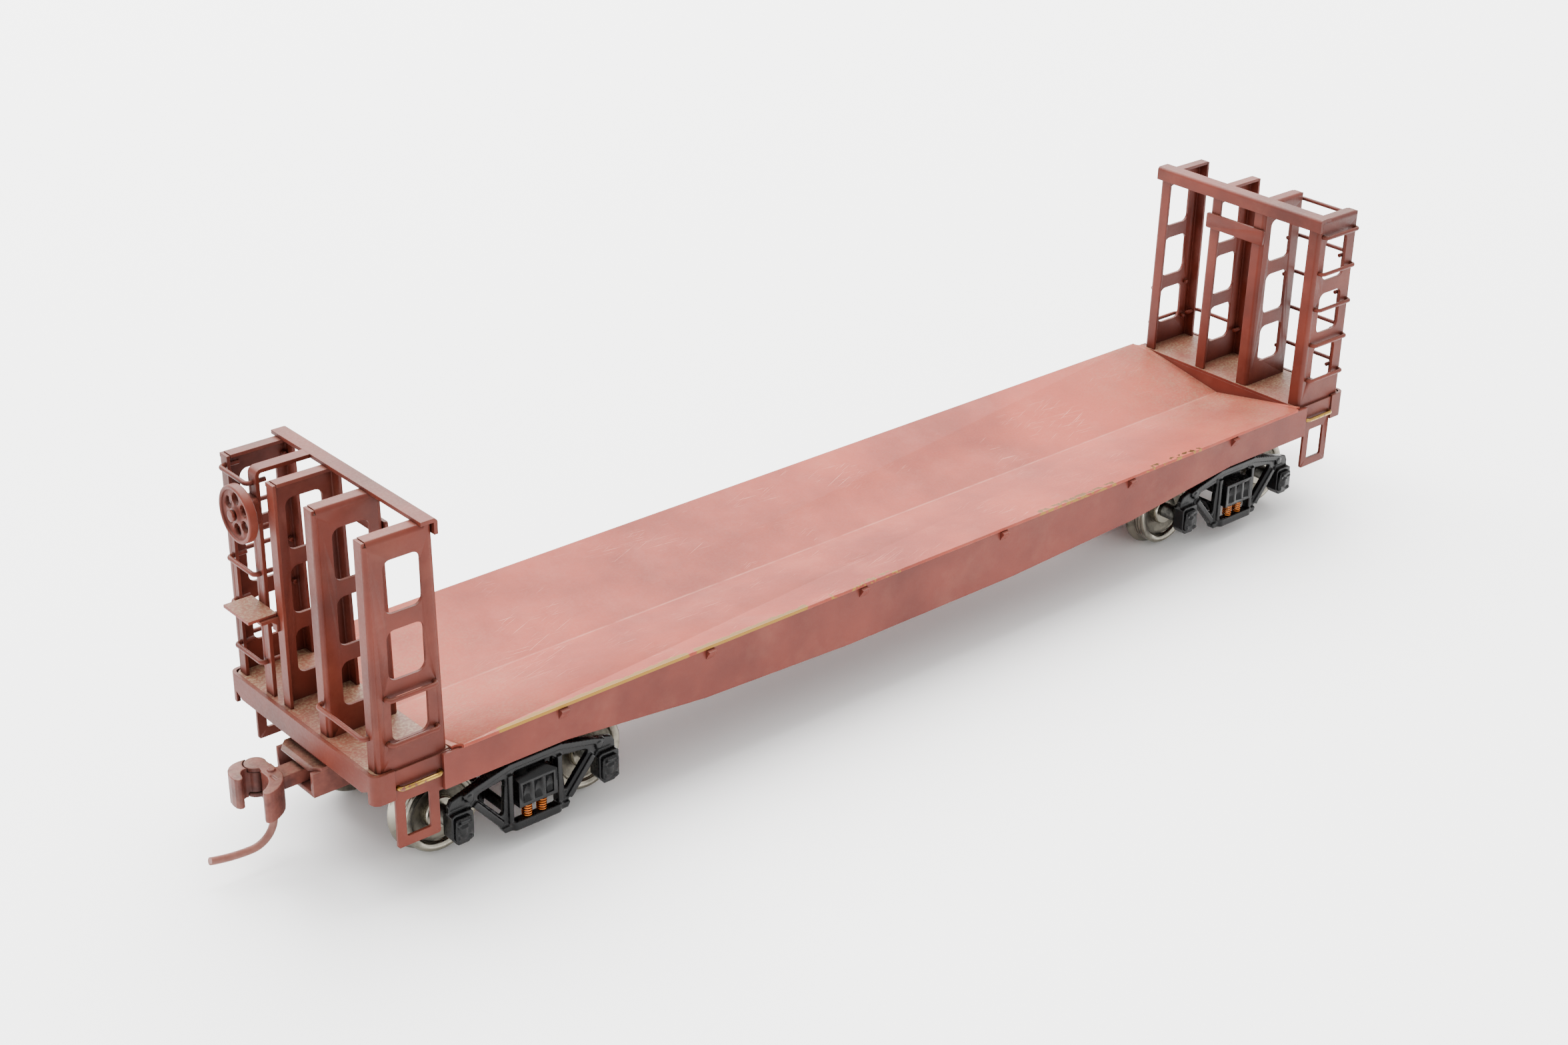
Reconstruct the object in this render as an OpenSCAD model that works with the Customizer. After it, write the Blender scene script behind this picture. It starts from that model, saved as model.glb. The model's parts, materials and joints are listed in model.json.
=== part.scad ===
// Model flat car, HO scale: a sheet-metal bulkhead flat car with a shallow V deck, on two sprung
// trucks, with knuckle couplers. X runs along the car, Y across it, and Z = 0 is the lowest point
// of the wheel flanges. The hand-brake end is -X (end B) and the other end is +X (end A).
// Each end is drawn in the frame of end A, where x grows outwards, and end B is that end turned
// half a turn about Z, so "ladder side" is -Y at end A and +Y at end B.

/* [Car] */
// Length between the load faces of the two bulkheads
load_length = 142.8; // [110:0.2:175]
// Width over the outer faces of the side sills
sill_width = 30.4; // [25:0.1:37]
// Height of the end platforms above the bottom of the wheel flanges
platform_z = 16.5; // [16:0.1:20]
// Distance between the centres of the two trucks
truck_spacing = 119.8; // [90:0.2:124]

/* [Deck] */
// Thickness of the deck sheet
deck_t = 0.4; // [0.3:0.05:0.8]
// How far each deck edge stands out past its sill
deck_overhang = 0.25; // [0:0.05:0.5]
// Height of the deck edges above the end platforms
deck_edge_rise = 0.4; // [0.2:0.05:0.8]
// Depth of the V from the deck edges to the valley
deck_valley_drop = 2.9; // [1.5:0.1:3.2]
// Diameter of the half-round notch in each deck corner
deck_notch_d = 1.5; // [0.6:0.1:2]

/* [Side sills] */
// Thickness of the side sill plates
sill_t = 0.5; // [0.3:0.05:0.8]
// Height of the bottom edge in the middle of the car
sill_middle_z = 9.1; // [7:0.1:10]
// Height of the bottom edge at the break in its slope
sill_break_z = 10; // [9.5:0.1:11]
// Height of the bottom edge over the trucks
sill_end_z = 12.07; // [11.9:0.01:13]
// Half length of the level middle of the bottom edge
sill_middle_x = 14; // [5:0.5:25]
// Distance of the break in slope from the middle of the car
sill_break_x = 36.5; // [28:0.5:40]
// Distance from the middle of the car to where the bottom edge is level again
sill_slope_end_x = 56.5; // [45:0.5:58]
// How far the sills run on past the load faces of the bulkheads
sill_overrun = 1.1; // [0.5:0.1:1.3]
// Width of the flange along the bottom edge
sill_flange_w = 1.1; // [0.6:0.1:2]
// Width and height of the small cleats under the deck edges
cleat_size = [1.1, 1.3]; // [0.5:0.1:2]
// How far the cleats stand out from the sill
cleat_reach = 0.7; // [0.3:0.05:1]
// Distances of the cleats from the middle of the car
cleat_x = [12, 35.9, 56.8]; // [5:0.1:60]

/* [Underframe] */
// Width over the centre sill
center_sill_w = 7; // [5:0.1:8]
// Thickness of the centre sill sheet
center_sill_t = 0.5; // [0.3:0.05:0.8]
// Height of the bottom of the centre sill in the middle of the car
center_sill_z = 9.6; // [8.5:0.1:11]
// Height of the bottom of the centre sill at its ends
center_sill_end_z = 12.3; // [11.8:0.1:13]
// Thickness of the cross bearers
bearer_t = 0.5; // [0.3:0.05:1]
// Length of each body bolster along the car
bolster_l = 4.4; // [3:0.1:6]
// Height of the underside of the body bolsters
bolster_z = 11.9; // [11.7:0.05:12.5]
// Diameter of the round pad under each body bolster
pad_d = 5.6; // [4:0.1:6]

/* [End platforms] */
// Thickness of the platform sheets
platform_t = 0.4; // [0.3:0.05:0.6]
// How far each platform runs in past the load face of its bulkhead
platform_lip = 0.2; // [0:0.05:0.5]
// Thickness of the cross plates that close the ends of the V
v_plate_t = 0.4; // [0.3:0.05:0.5]
// Thickness of the end sill sheets
end_sill_t = 0.45; // [0.3:0.05:0.6]
// Distance from the post flanges out to the end sill faces
end_sill_gap = 0.9; // [0.6:0.05:1.5]
// Height of the end sill faces
end_sill_h = 2.8; // [2:0.1:3.2]
// Depth of the end sills' side legs below the platform
end_leg_h = 3.5; // [3:0.1:5]
// Outer radius of the end sills' upright bends
end_bend_r = 1; // [0.6:0.1:1.5]
// Dark seam between a platform and its end sill
seam = 0.06; // [0.02:0.01:0.1]
// Thickness of the step panels
panel_t = 0.35; // [0.25:0.05:0.6]
// Length of the step panels along the car
panel_l = 7.1; // [6.5:0.1:8]
// Height of the step panels
panel_h = 4.5; // [3.5:0.1:5]
// Width over each stirrup's legs
stirrup_w = 5.4; // [4.5:0.1:6]
// Height of the bottom of the stirrups
stirrup_z = 6.7; // [4:0.1:8]
// Width of the strip that the stirrups are bent from
stirrup_strip = 1.15; // [0.7:0.05:1.6]

/* [Bulkheads] */
// Height of the posts above the platform
post_h = 27.2; // [22:0.2:33]
// Depth of the posts along the car, at the base
post_depth = 8.8; // [8.3:0.1:10.6]
// How much the load face of the posts leans away from the load over their height
post_lean = 0.5; // [0:0.05:1]
// Thickness of the post sheet
post_t = 0.38; // [0.25:0.01:0.5]
// Width of the post flanges
post_flange_w = 1.8; // [1.5:0.1:2.5]
// Outer radius of the bends in the post sheet
post_bend_r = 0.55; // [0.5:0.05:0.8]
// Distance of the inner posts' webs from the middle of the car
inner_post_y = 4.85; // [4.2:0.05:6]
// Width of the three windows in each post
window_w = 4.6; // [3:0.1:5]
// Distance from the load face to the windows
window_x = 2.1; // [1.9:0.1:2.6]
// Heights of the three windows, lowest first
window_h = [5.4, 5.9, 6.2]; // [3:0.1:7]
// Height of the lowest window above the platform
window_first = 3.2; // [2:0.1:4]
// Height of the sheet left between two windows
window_bar = 1.9; // [1:0.1:3]
// Corner radius of the windows
window_r = 1; // [0.3:0.1:1.4]
// Thickness of the top beams
beam_t = 0.45; // [0.3:0.05:0.6]
// Width of the top leg of each beam
beam_top_w = 2.05; // [1.5:0.05:3]
// Height of the down leg of each beam
beam_leg_h = 1.85; // [1.2:0.05:3]
// Width, height and thickness of the name boards
board = [10.2, 2.15, 0.4]; // [0.3:0.05:12]
// Height of the name boards above the platform
board_up = 21.3; // [12:0.1:24]

/* [Wire fittings] */
// Diameter of the wire that rungs and grabs are bent from
wire_d = 0.55; // [0.4:0.01:0.68]
// Bend radius of the wire at its centre
wire_bend_r = 0.5; // [0.4:0.05:0.7]
// Distance from the sheet to the centre of a rung's bar
rung_reach = 0.7; // [0.6:0.05:1]
// Radial clearance of a wire in its drilled hole
wire_fit = 0.02; // [0.01:0.01:0.05]
// Height of the lowest side rung above the platform
side_rung_up = 3.8; // [2.5:0.1:5]
// Distance between side rungs
side_rung_pitch = 5.29; // [4.5:0.01:5.4]
// Height of the lowest end rung above the platform
end_rung_up = 4.2; // [4.2:0.1:5]
// Distance between end rungs
end_rung_pitch = 5.45; // [4.5:0.01:5.5]
// Heights of the two low side grabs above the platform
side_grab_up = [3.3, 8.7]; // [2:0.1:12]
// Height of the low end grab above the platform
end_grab_up = 3.95; // [2:0.05:8]
// Distance of the sill grabs below the platform
sill_grab_down = 2.2; // [1.5:0.1:3]

/* [Hand brake] */
// Distance of the brake mast from the middle of the car
brake_y = 7.4; // [7:0.1:8]
// Width of the brake mast strap
strap_w = 1.6; // [1.2:0.1:2]
// Height of the brake wheel above the platform
brake_up = 22.9; // [20:0.1:23.2]
// Diameter of the brake wheel
brake_wheel_d = 6.6; // [5:0.1:7]
// Depth of the brake wheel rim
brake_rim_l = 1.1; // [0.5:0.05:1.2]
// Width, height and depth of the brake gear housing
housing = [2.4, 3.2, 1.1]; // [0.8:0.1:3.4]
// Diameter of the brake wheel shaft
brake_shaft_d = 0.8; // [0.5:0.05:1]
// Length, width and thickness of the brake step
brake_step = [3.5, 5.3, 0.35]; // [0.3:0.05:6]
// Height of the brake step above the platform
brake_step_up = 11.5; // [8:0.1:14]

/* [Couplers] */
// Outer width of a coupler box
box_w = 7.66; // [6.8:0.02:9]
// Outer height of a coupler box without its lid
box_h = 3; // [2.6:0.1:3.2]
// Length of a coupler box
box_l = 11; // [10.2:0.1:11.1]
// Distance from the end sill face to the front of the box
box_front = 0.9; // [0.3:0.1:1.5]
// Thickness of the box walls
box_wall = 0.55; // [0.3:0.05:0.8]
// Height of the top of the box
box_top_z = 12.2; // [12:0.05:12.6]
// Thickness of the box lid
lid_t = 0.4; // [0.3:0.05:0.5]
// Height of the coupler centre line
coupler_z = 10.3; // [10.2:0.05:10.6]
// Distance from the box front back to the coupler pivot
pivot_back = 5; // [4.5:0.1:6]
// Diameter of the coupler pivot post
pivot_d = 2.5; // [2:0.1:3]
// Running clearance of a pivot, on the radius
pivot_fit = 0.08; // [0.04:0.01:0.1]
// Height of the coupler head
head_h = 3.7; // [3.2:0.1:4]
// Diameter of the trip pin
trip_d = 0.9; // [0.6:0.05:1]

/* [Trucks] */
// Distance between the axles of a truck
wheelbase = 20; // [19:0.1:24]
// Radius of the wheel tread
tread_r = 4.81; // [4.6:0.01:5]
// Height of the flange above the tread
flange_h = 0.64; // [0.5:0.01:0.65]
// Width of a wheel
wheel_w = 2.8; // [2.2:0.1:3]
// Distance between the backs of the two wheels on an axle
back_to_back = 14.48; // [14:0.02:14.6]
// Radius of the axles
axle_r = 1; // [0.7:0.05:1.2]
// Radius of the journals at the axle ends
journal_r = 0.5; // [0.4:0.05:0.6]
// Running clearance of a journal, on the radius
journal_fit = 0.08; // [0.04:0.01:0.1]
// Distance from the middle of the car to the inner face of a side frame
frame_y = 12.95; // [12.9:0.05:13.2]
// Thickness of the side frame plate
frame_t = 0.7; // [0.5:0.05:0.8]
// Height of the ribs on the side frame
frame_rib = 0.4; // [0.2:0.05:0.5]
// Height of the top of a side frame
frame_top_z = 11; // [10.6:0.05:11.1]
// Height of the bottom of a side frame
frame_bottom_z = 2.3; // [2:0.05:2.6]
// Height of the spring seats
seat_z = 3.2; // [3:0.05:3.4]
// Height of the underside of the bolster ends
bolster_end_z = 5.2; // [5:0.05:5.4]
// Outer diameter of the truck springs
spring_d = 1.26; // [0.9:0.02:1.3]
// Diameter of the truck spring wire
spring_wire = 0.22; // [0.15:0.01:0.24]
// Number of coils in a truck spring
spring_coils = 6; // [4:1:7]

/* [Hidden] */

oxide = "#8a4a40";
oxide_dark = "#6f3a32";
brass = "#a8813f";
gloss_black = "#1f1f21";
nickel = "#a9a59b";
copper = "#a4653c";
steel = "#4a4a4c";

eps = 0.01;
round_fn = 48;
// Planes along the car
load_x = load_length / 2;
outer_x = load_x + post_depth;
end_face_x = outer_x + end_sill_gap;
platform_in_x = load_x - platform_lip;
platform_out_x = end_face_x - end_sill_t - seam;
sill_end_x = load_x + sill_overrun;
panel_in_x = load_x - 0.1;
panel_out_x = panel_in_x + panel_l;
truck_x = truck_spacing / 2;
// Planes across the car
sill_y = sill_width / 2;
panel_y = sill_y - sill_t;
platform_y = panel_y - panel_t;
deck_y = sill_y + deck_overhang;
end_leg_y = panel_y + 0.2;
// Heights
platform_low = platform_z - platform_t;
deck_edge_z = platform_z + deck_edge_rise;
valley_z = deck_edge_z - deck_valley_drop;
deck_slope = deck_valley_drop / deck_y;
deck_drop = deck_t * sqrt(1 + deck_slope * deck_slope);
v_plate_low = valley_z - 1;
post_top = platform_z + post_h;
lean_angle = atan(post_lean / post_h);
top_load_x = load_x + post_lean;
block_low = box_top_z + lid_t;
// Wire fittings
wire_hole_d = wire_d + 2 * wire_fit;
side_leg_in = 1.25;
side_leg_out = 0.7;
grab_leg_out = 1.5;
outer_flange_leg = 1.35;
inner_flange_leg = 0.95;
side_stub = 0.55;
end_stub = 1.2;
rungs = 5;
side_rung_z = [for (i = [0:rungs - 1]) platform_z + side_rung_up + i * side_rung_pitch];
end_rung_z = [for (i = [0:rungs - 1]) platform_z + end_rung_up + i * end_rung_pitch];
side_grab_z = [for (up = side_grab_up) platform_z + up];
end_grab_z = platform_z + end_grab_up;
sill_grab_z = platform_z - sill_grab_down;
sill_leg_in = sill_end_x + wire_d / 2 + 0.05;
sill_leg_out = panel_out_x - wire_d / 2 - 0.05;
sill_grab_reach = sill_t + 0.05;
// Hand brake
brake_z = platform_z + brake_up;
brake_step_z = platform_z + brake_step_up;
wheel_gap = 0.25;
wheel_back_x = outer_x + housing[2] + wheel_gap;
hub_l = 1.1;
strap_bend_r = 0.8;
// Couplers
box_front_x = end_face_x + box_front;
box_low = box_top_z - box_h;
pivot_x = box_front_x - pivot_back;
head_x = box_front_x + 2.2;
shank_w = 2.4;
shank_t = 1.6;
shank_low = box_low + box_wall + 0.12;
head_low = coupler_z - head_h / 2;
head_top = coupler_z + head_h / 2;
ear_h = 0.5;
ear_r = 1.25;
knuckle_pin_r = 0.35;
knuckle_at = [head_x + 1.3, -2.35];
knuckle_gap = 0.08;
trip_x = head_x + 0.85;
trip_bend_r = 3.05;
trip_low = 3.15;
trip_sweep_r = 19.85;
trip_sweep = 14.6;
// Trucks
axle_z = tread_r + flange_h;
wheel_in_y = back_to_back / 2;
column_in = 3;
column_out = 4.3;
strut_foot_x = 4.75;
window_top_z = frame_top_z - 1.5;
box_half = 1.4;
journal_box_y = frame_y - 0.5;
journal_face_y = frame_y + 1.35;
lid_l = 0.35;
bolster_half = 2.6;
bolster_bar_half = 2;
bolster_bar_low = 6.3;
bolster_bar_top = 9;
bolster_end_top = 8.5;
bolster_face_y = frame_y + 1.25;
bowl_gap = 0.05;
pad_z = bolster_bar_top + 1.4;
screw_r = 0.8;
spring_x = 1;
spring_y = frame_y + 0.55;
beam_x = wheelbase / 2 - axle_z - 0.95;

function under_deck(y) = valley_z + deck_slope * abs(y) - deck_drop;
function mirrored(points) = concat(points, [for (i = [len(points) - 1:-1:0]) [-points[i].x, points[i].y]]);
function leaning(x, z) = x + post_lean * (z - platform_z) / post_h;

// ---- Shared shapes ----

// A flat shape drawn in X and Z, as a plate from y = 0 to y = t
module plate_y(t) {
    translate([0, t, 0]) rotate([90, 0, 0]) linear_extrude(t) children();
}

// A flat shape drawn in X and Z, as a plate of thickness t with its middle at y = 0
module mid_plate_y(t) {
    rotate([90, 0, 0]) linear_extrude(t, center = true) children();
}

// A flat shape drawn in Y and Z, as a plate from x = 0 to x = t
module plate_x(t) {
    rotate([90, 0, 90]) linear_extrude(t) children();
}

module rounded_rect(w, h, r) {
    translate([r, 0]) square([w - 2 * r, h]);
    translate([0, r]) square([w, h - 2 * r]);
    for (cx = [r, w - r]) for (cy = [r, h - r]) translate([cx, cy]) circle(r = r, $fn = round_fn);
}

// Section of a bent sheet: legs along +X and +Y, with the outer corner at the origin
module bent_section(leg_x, leg_y, t, r) {
    translate([r, 0]) square([leg_x - r, t]);
    translate([0, r]) square([t, leg_y - r]);
    intersection() {
        translate([r, r]) difference() {
            circle(r = r, $fn = round_fn);
            circle(r = r - t, $fn = round_fn);
        }
        square([r, r]);
    }
}

// A straight bar of width w from point a to point b
module bar(a, b, w) {
    run = b - a;
    translate(a) rotate(atan2(run.y, run.x)) translate([0, -w / 2]) square([norm(run), w]);
}

// A wire staple: its bar lies along X at y = reach, and its legs run back to y = -through
module staple(span, reach, through) {
    leg = through + reach - wire_bend_r;
    for (x = [0, span]) translate([x, -through, 0]) rotate([-90, 0, 0]) cylinder(d = wire_d, h = leg, $fn = 24);
    translate([wire_bend_r, reach, 0]) rotate([0, 90, 0]) cylinder(d = wire_d, h = span - 2 * wire_bend_r, $fn = 24);
    for (x = [0, span]) {
        turn = x == 0 ? 90 : 0;
        centre = x == 0 ? wire_bend_r : span - wire_bend_r;
        translate([centre, reach - wire_bend_r, 0]) rotate([0, 0, turn])
            rotate_extrude(angle = 90, $fn = round_fn) translate([wire_bend_r, 0]) circle(d = wire_d, $fn = 24);
    }
}

// A staple on the outer face of the sheet at y = face, with its legs at x1 and x2; side is -1 or 1
module side_staple(side, face, x1, x2, z, reach, through) {
    if (side > 0) translate([x1, face, z]) staple(x2 - x1, reach, through);
    if (side < 0) translate([x1, -face, z]) mirror([0, 1, 0]) staple(x2 - x1, reach, through);
}

// A staple across the end, with its legs at y1 and y2
module end_staple(y1, y2, z) {
    translate([outer_x, y2, z]) rotate([0, 0, -90]) staple(y2 - y1, rung_reach, post_t + end_stub);
}

module at_both_ends() {
    children();
    rotate([0, 0, 180]) children();
}

module below_deck() {
    low = 0;
    half = sill_y + 3;
    translate([-outer_x, 0, 0]) plate_x(2 * outer_x)
        polygon([[-half, low], [-half, under_deck(half)], [0, under_deck(0)], [half, under_deck(half)], [half, low]]);
}

// ---- Car body ----

module deck_sheet() {
    edge_z = valley_z + deck_slope * deck_y;
    color(oxide) difference() {
        translate([-platform_in_x, 0, 0]) plate_x(2 * platform_in_x)
            polygon([
                [-deck_y, edge_z], [0, valley_z], [deck_y, edge_z],
                [deck_y, edge_z - deck_drop], [0, valley_z - deck_drop], [-deck_y, edge_z - deck_drop]
            ]);
        for (x = [-1, 1]) for (y = [-1, 1])
            translate([x * (platform_in_x - deck_notch_d / 4), y * deck_y, valley_z])
                cylinder(d = deck_notch_d, h = 2 * deck_valley_drop, $fn = round_fn);
    }
}

function sill_outline(top) = mirrored([
    [sill_end_x, top], [sill_end_x, sill_end_z], [sill_slope_end_x, sill_end_z],
    [sill_break_x, sill_break_z], [sill_middle_x, sill_middle_z]
]);

module side_sills() {
    outline = sill_outline(deck_edge_z + 1);
    color(oxide) intersection() {
        for (side = [-1, 1]) {
            translate([0, side * (sill_y - sill_t / 2), 0]) mid_plate_y(sill_t) polygon(outline);
            translate([0, side * (sill_y - sill_t - sill_flange_w / 2 + eps), 0]) mid_plate_y(sill_flange_w)
                intersection() {
                    difference() {
                        polygon(outline);
                        translate([0, sill_t]) polygon(outline);
                    }
                    translate([-sill_slope_end_x + bolster_l, 0]) square([2 * (sill_slope_end_x - bolster_l), platform_z]);
                }
        }
        below_deck();
    }
}

module tie_cleats() {
    top = under_deck(sill_y) - 0.05;
    color(oxide) for (turn = [0, 180]) rotate([0, 0, turn]) for (way = [-1, 1]) for (x = cleat_x)
        translate([way * x - cleat_size[0] / 2, 0, 0]) plate_x(cleat_size[0])
            polygon([[sill_y, top], [sill_y + cleat_reach, top - 0.2], [sill_y, top - cleat_size[1]]]);
}

module center_sills() {
    middle_end = truck_x - bolster_l / 2 - 0.2;
    tail_start = truck_x + bolster_l / 2 + 0.2;
    tail_end = box_front_x - box_l - 0.1;
    rise_x = sill_break_x + 9;
    top = platform_z;
    middle = mirrored([
        [middle_end, top], [middle_end, center_sill_end_z], [rise_x, center_sill_end_z], [sill_break_x, center_sill_z]
    ]);
    tail = [
        [tail_start, center_sill_end_z], [tail_end, center_sill_end_z],
        [tail_end, top], [tail_start, top]
    ];
    color(oxide_dark) intersection() {
        for (outline = [middle, tail, [for (p = tail) [-p.x, p.y]]]) difference() {
            mid_plate_y(center_sill_w) polygon(outline);
            translate([0, 0, center_sill_t]) mid_plate_y(center_sill_w - 2 * center_sill_t) polygon(outline);
        }
        below_deck();
    }
}

module cross_bearers() {
    inner = center_sill_w / 2;
    outer = sill_y - sill_t;
    low = sill_break_z + 0.6;
    color(oxide_dark) for (x = [-sill_break_x, -sill_middle_x, sill_middle_x, sill_break_x]) for (side = [0, 1])
        mirror([0, side, 0]) translate([x - bearer_t / 2, 0, 0]) plate_x(bearer_t)
            polygon([
                [inner, low], [outer - sill_flange_w, low + 0.4], [outer - sill_flange_w, sill_break_z + 1.4],
                [outer, sill_break_z + 1.4], [outer, under_deck(outer)], [inner, under_deck(inner)]
            ]);
}

module body_bolsters() {
    half = sill_y - sill_t;
    color(oxide_dark) for (side = [-1, 1]) difference() {
        intersection() {
            translate([side * truck_x, 0, 0]) union() {
                translate([-bolster_l / 2, -half, bolster_z]) cube([bolster_l, 2 * half, platform_z - bolster_z]);
                translate([0, 0, pad_z]) cylinder(d = pad_d, h = bolster_z - pad_z + eps, $fn = round_fn);
            }
            below_deck();
        }
        translate([side * truck_x, 0, 0]) cylinder(r = screw_r + wire_fit, h = platform_z, $fn = round_fn);
    }
}

module end_platforms() {
    cut = end_bend_r / 2;
    color(oxide) at_both_ends() translate([0, 0, platform_low]) linear_extrude(platform_t) polygon([
        [platform_in_x, -platform_y], [platform_out_x - cut, -platform_y], [platform_out_x, -platform_y + cut],
        [platform_out_x, platform_y - cut], [platform_out_x - cut, platform_y], [platform_in_x, platform_y]
    ]);
}

module v_plates() {
    color(oxide) at_both_ends() translate([platform_in_x, -platform_y, v_plate_low])
        cube([v_plate_t, 2 * platform_y, platform_low - v_plate_low]);
}

module end_sills() {
    half = end_leg_y;
    flat = half - end_bend_r;
    top = platform_z + 0.1;
    leg = end_face_x - panel_out_x;
    low = platform_z - end_leg_h;
    face_low = top - end_sill_h;
    color(oxide) at_both_ends() difference() {
        union() {
            for (side = [0, 1]) mirror([0, side, 0]) translate([end_face_x, half, low]) rotate([0, 0, 180])
                linear_extrude(top - low) bent_section(leg, half + eps, end_sill_t, end_bend_r);
        }
        translate([end_face_x - end_bend_r, 0, 0]) plate_x(end_bend_r + 1)
            polygon([
                [-flat + 0.3, 0], [-flat + 0.3, face_low + 0.65], [-flat + 1.5, face_low],
                [flat - 1.5, face_low], [flat - 0.3, face_low + 0.65], [flat - 0.3, 0]
            ]);
    }
}

module draft_blocks() {
    start = platform_in_x + v_plate_t + 0.3;
    end = end_face_x - end_sill_t - 0.4;
    color(oxide_dark) at_both_ends() difference() {
        translate([start, -center_sill_w / 2, block_low]) cube([end - start, center_sill_w, platform_low - block_low]);
        translate([pivot_x, 0, 0]) cylinder(d = pivot_d / 2 + 2 * wire_fit, h = platform_low - 1, $fn = round_fn);
    }
}

module step_panels() {
    top = platform_z - 0.1;
    low = top - panel_h;
    left = panel_out_x - stirrup_w;
    open_h = low - stirrup_z - stirrup_strip + 0.5;
    color(oxide) at_both_ends() for (side = [-1, 1]) difference() {
        translate([0, side * (panel_y - panel_t / 2), 0]) mid_plate_y(panel_t) difference() {
            union() {
                translate([panel_in_x, low]) square([panel_l, panel_h]);
                translate([left, stirrup_z]) rounded_rect(stirrup_w, low - stirrup_z + 2, 0.3);
            }
            translate([left + stirrup_strip, stirrup_z + stirrup_strip]) rounded_rect(stirrup_w - 2 * stirrup_strip, open_h, 0.3);
        }
        for (x = [sill_leg_in, sill_leg_out]) translate([x, 0, sill_grab_z]) rotate([90, 0, 0])
            cylinder(d = wire_hole_d, h = 4 * sill_y, center = true, $fn = 24);
    }
}

// ---- Bulkheads ----

// One post, with the outer face of its web at y = 0 and its flanges towards +Y
module post_sheet() {
    fold_leg = post_bend_r + 0.5;
    slit = 0.08;
    corner_y = 0.25;
    top_start = top_load_x + post_t + slit;
    top_end = outer_x - post_t - slit;
    plate_y(post_t) polygon([
        [load_x + post_bend_r, platform_z], [outer_x - post_bend_r, platform_z],
        [outer_x - post_bend_r, post_top - post_bend_r], [top_load_x + post_bend_r, post_top - post_bend_r]
    ]);
    translate([outer_x, 0, platform_z]) mirror([1, 0, 0])
        linear_extrude(post_h - post_bend_r) bent_section(fold_leg, post_flange_w, post_t, post_bend_r);
    translate([outer_x, corner_y, post_top - post_bend_r - eps]) mirror([1, 0, 0])
        cube([post_t, post_flange_w - corner_y, post_bend_r - slit]);
    intersection() {
        translate([load_x, 0, platform_z]) rotate([0, lean_angle, 0]) translate([0, 0, -1])
            linear_extrude(post_h + 2) bent_section(fold_leg, post_flange_w, post_t, post_bend_r);
        translate([load_x - 1, -1, platform_z]) cube([post_depth, post_flange_w + 2, post_h]);
    }
    translate([top_start, 0, post_top]) mirror([0, 0, 1])
        plate_x(top_end - top_start) bent_section(post_flange_w, fold_leg, post_t, post_bend_r);
}

function window_z(i) = i == 0 ? platform_z + window_first : window_z(i - 1) + window_h[i - 1] + window_bar;

module post_windows() {
    for (i = [0:len(window_h) - 1]) translate([load_x + window_x, 0, window_z(i)])
        mid_plate_y(4 * post_t) rounded_rect(window_w, window_h[i], window_r);
}

module web_holes(x_list, z_list) {
    for (x = x_list) for (z = z_list) translate([x, 0, z]) rotate([90, 0, 0])
        cylinder(d = wire_hole_d, h = 4 * post_t, center = true, $fn = 24);
}

module flange_holes(v, z_list) {
    for (z = z_list) translate([outer_x, v, z]) rotate([0, 90, 0])
        cylinder(d = wire_hole_d, h = 4 * post_t, center = true, $fn = 24);
}

side_rung_x = [load_x + side_leg_in, outer_x - side_leg_out];
side_grab_x = [load_x + side_leg_in, outer_x - grab_leg_out];

module outer_posts() {
    color(oxide) at_both_ends() {
        translate([0, -platform_y, 0]) difference() {
            post_sheet();
            post_windows();
            web_holes(side_rung_x, side_rung_z);
            flange_holes(outer_flange_leg, end_rung_z);
        }
        mirror([0, 1, 0]) translate([0, -platform_y, 0]) difference() {
            post_sheet();
            post_windows();
            web_holes(side_grab_x, side_grab_z);
            flange_holes(outer_flange_leg, [end_grab_z]);
        }
    }
}

module inner_posts() {
    color(oxide) at_both_ends() mirror([0, 1, 0]) translate([0, -inner_post_y, 0]) difference() {
        post_sheet();
        post_windows();
        flange_holes(inner_flange_leg, [end_grab_z]);
    }
    color(oxide) translate([0, -inner_post_y, 0]) difference() {
        post_sheet();
        post_windows();
        flange_holes(inner_flange_leg, end_rung_z);
    }
    color(oxide) rotate([0, 0, 180]) translate([0, -inner_post_y, 0]) difference() {
        post_sheet();
        post_windows();
    }
}

module top_beams() {
    beam_in = leaning(load_x, post_top - beam_leg_h + beam_t) - beam_t;
    half = platform_y + 0.35;
    color(oxide) at_both_ends() translate([beam_in, half, post_top + beam_t]) mirror([0, 0, 1]) rotate([90, 0, 0])
        linear_extrude(2 * half) bent_section(beam_top_w, beam_leg_h, beam_t, 0.5);
}

module name_boards() {
    color(oxide) at_both_ends() translate([load_x, 0, platform_z]) rotate([0, lean_angle, 0])
        translate([-board[2], -board[0] / 2, board_up]) plate_x(board[2]) rounded_rect(board[0], board[1], 0.25);
}

// ---- Wire fittings ----

module side_rungs() {
    color(oxide) at_both_ends() for (z = side_rung_z)
        side_staple(-1, platform_y, side_rung_x[0], side_rung_x[1], z, rung_reach, post_t + side_stub);
}

module end_rungs() {
    outer_leg = platform_y - outer_flange_leg;
    inner_leg = inner_post_y - inner_flange_leg;
    color(oxide) for (z = end_rung_z) end_staple(-outer_leg, -inner_leg, z);
    color(oxide) rotate([0, 0, 180]) for (z = end_rung_z) end_staple(-outer_leg, -brake_y, z);
}

module side_grabs() {
    color(oxide) at_both_ends() for (z = side_grab_z)
        side_staple(1, platform_y, side_grab_x[0], side_grab_x[1], z, rung_reach, post_t + side_stub);
}

module end_grabs() {
    color(oxide) at_both_ends() end_staple(inner_post_y - inner_flange_leg, platform_y - outer_flange_leg, end_grab_z);
}

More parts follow.
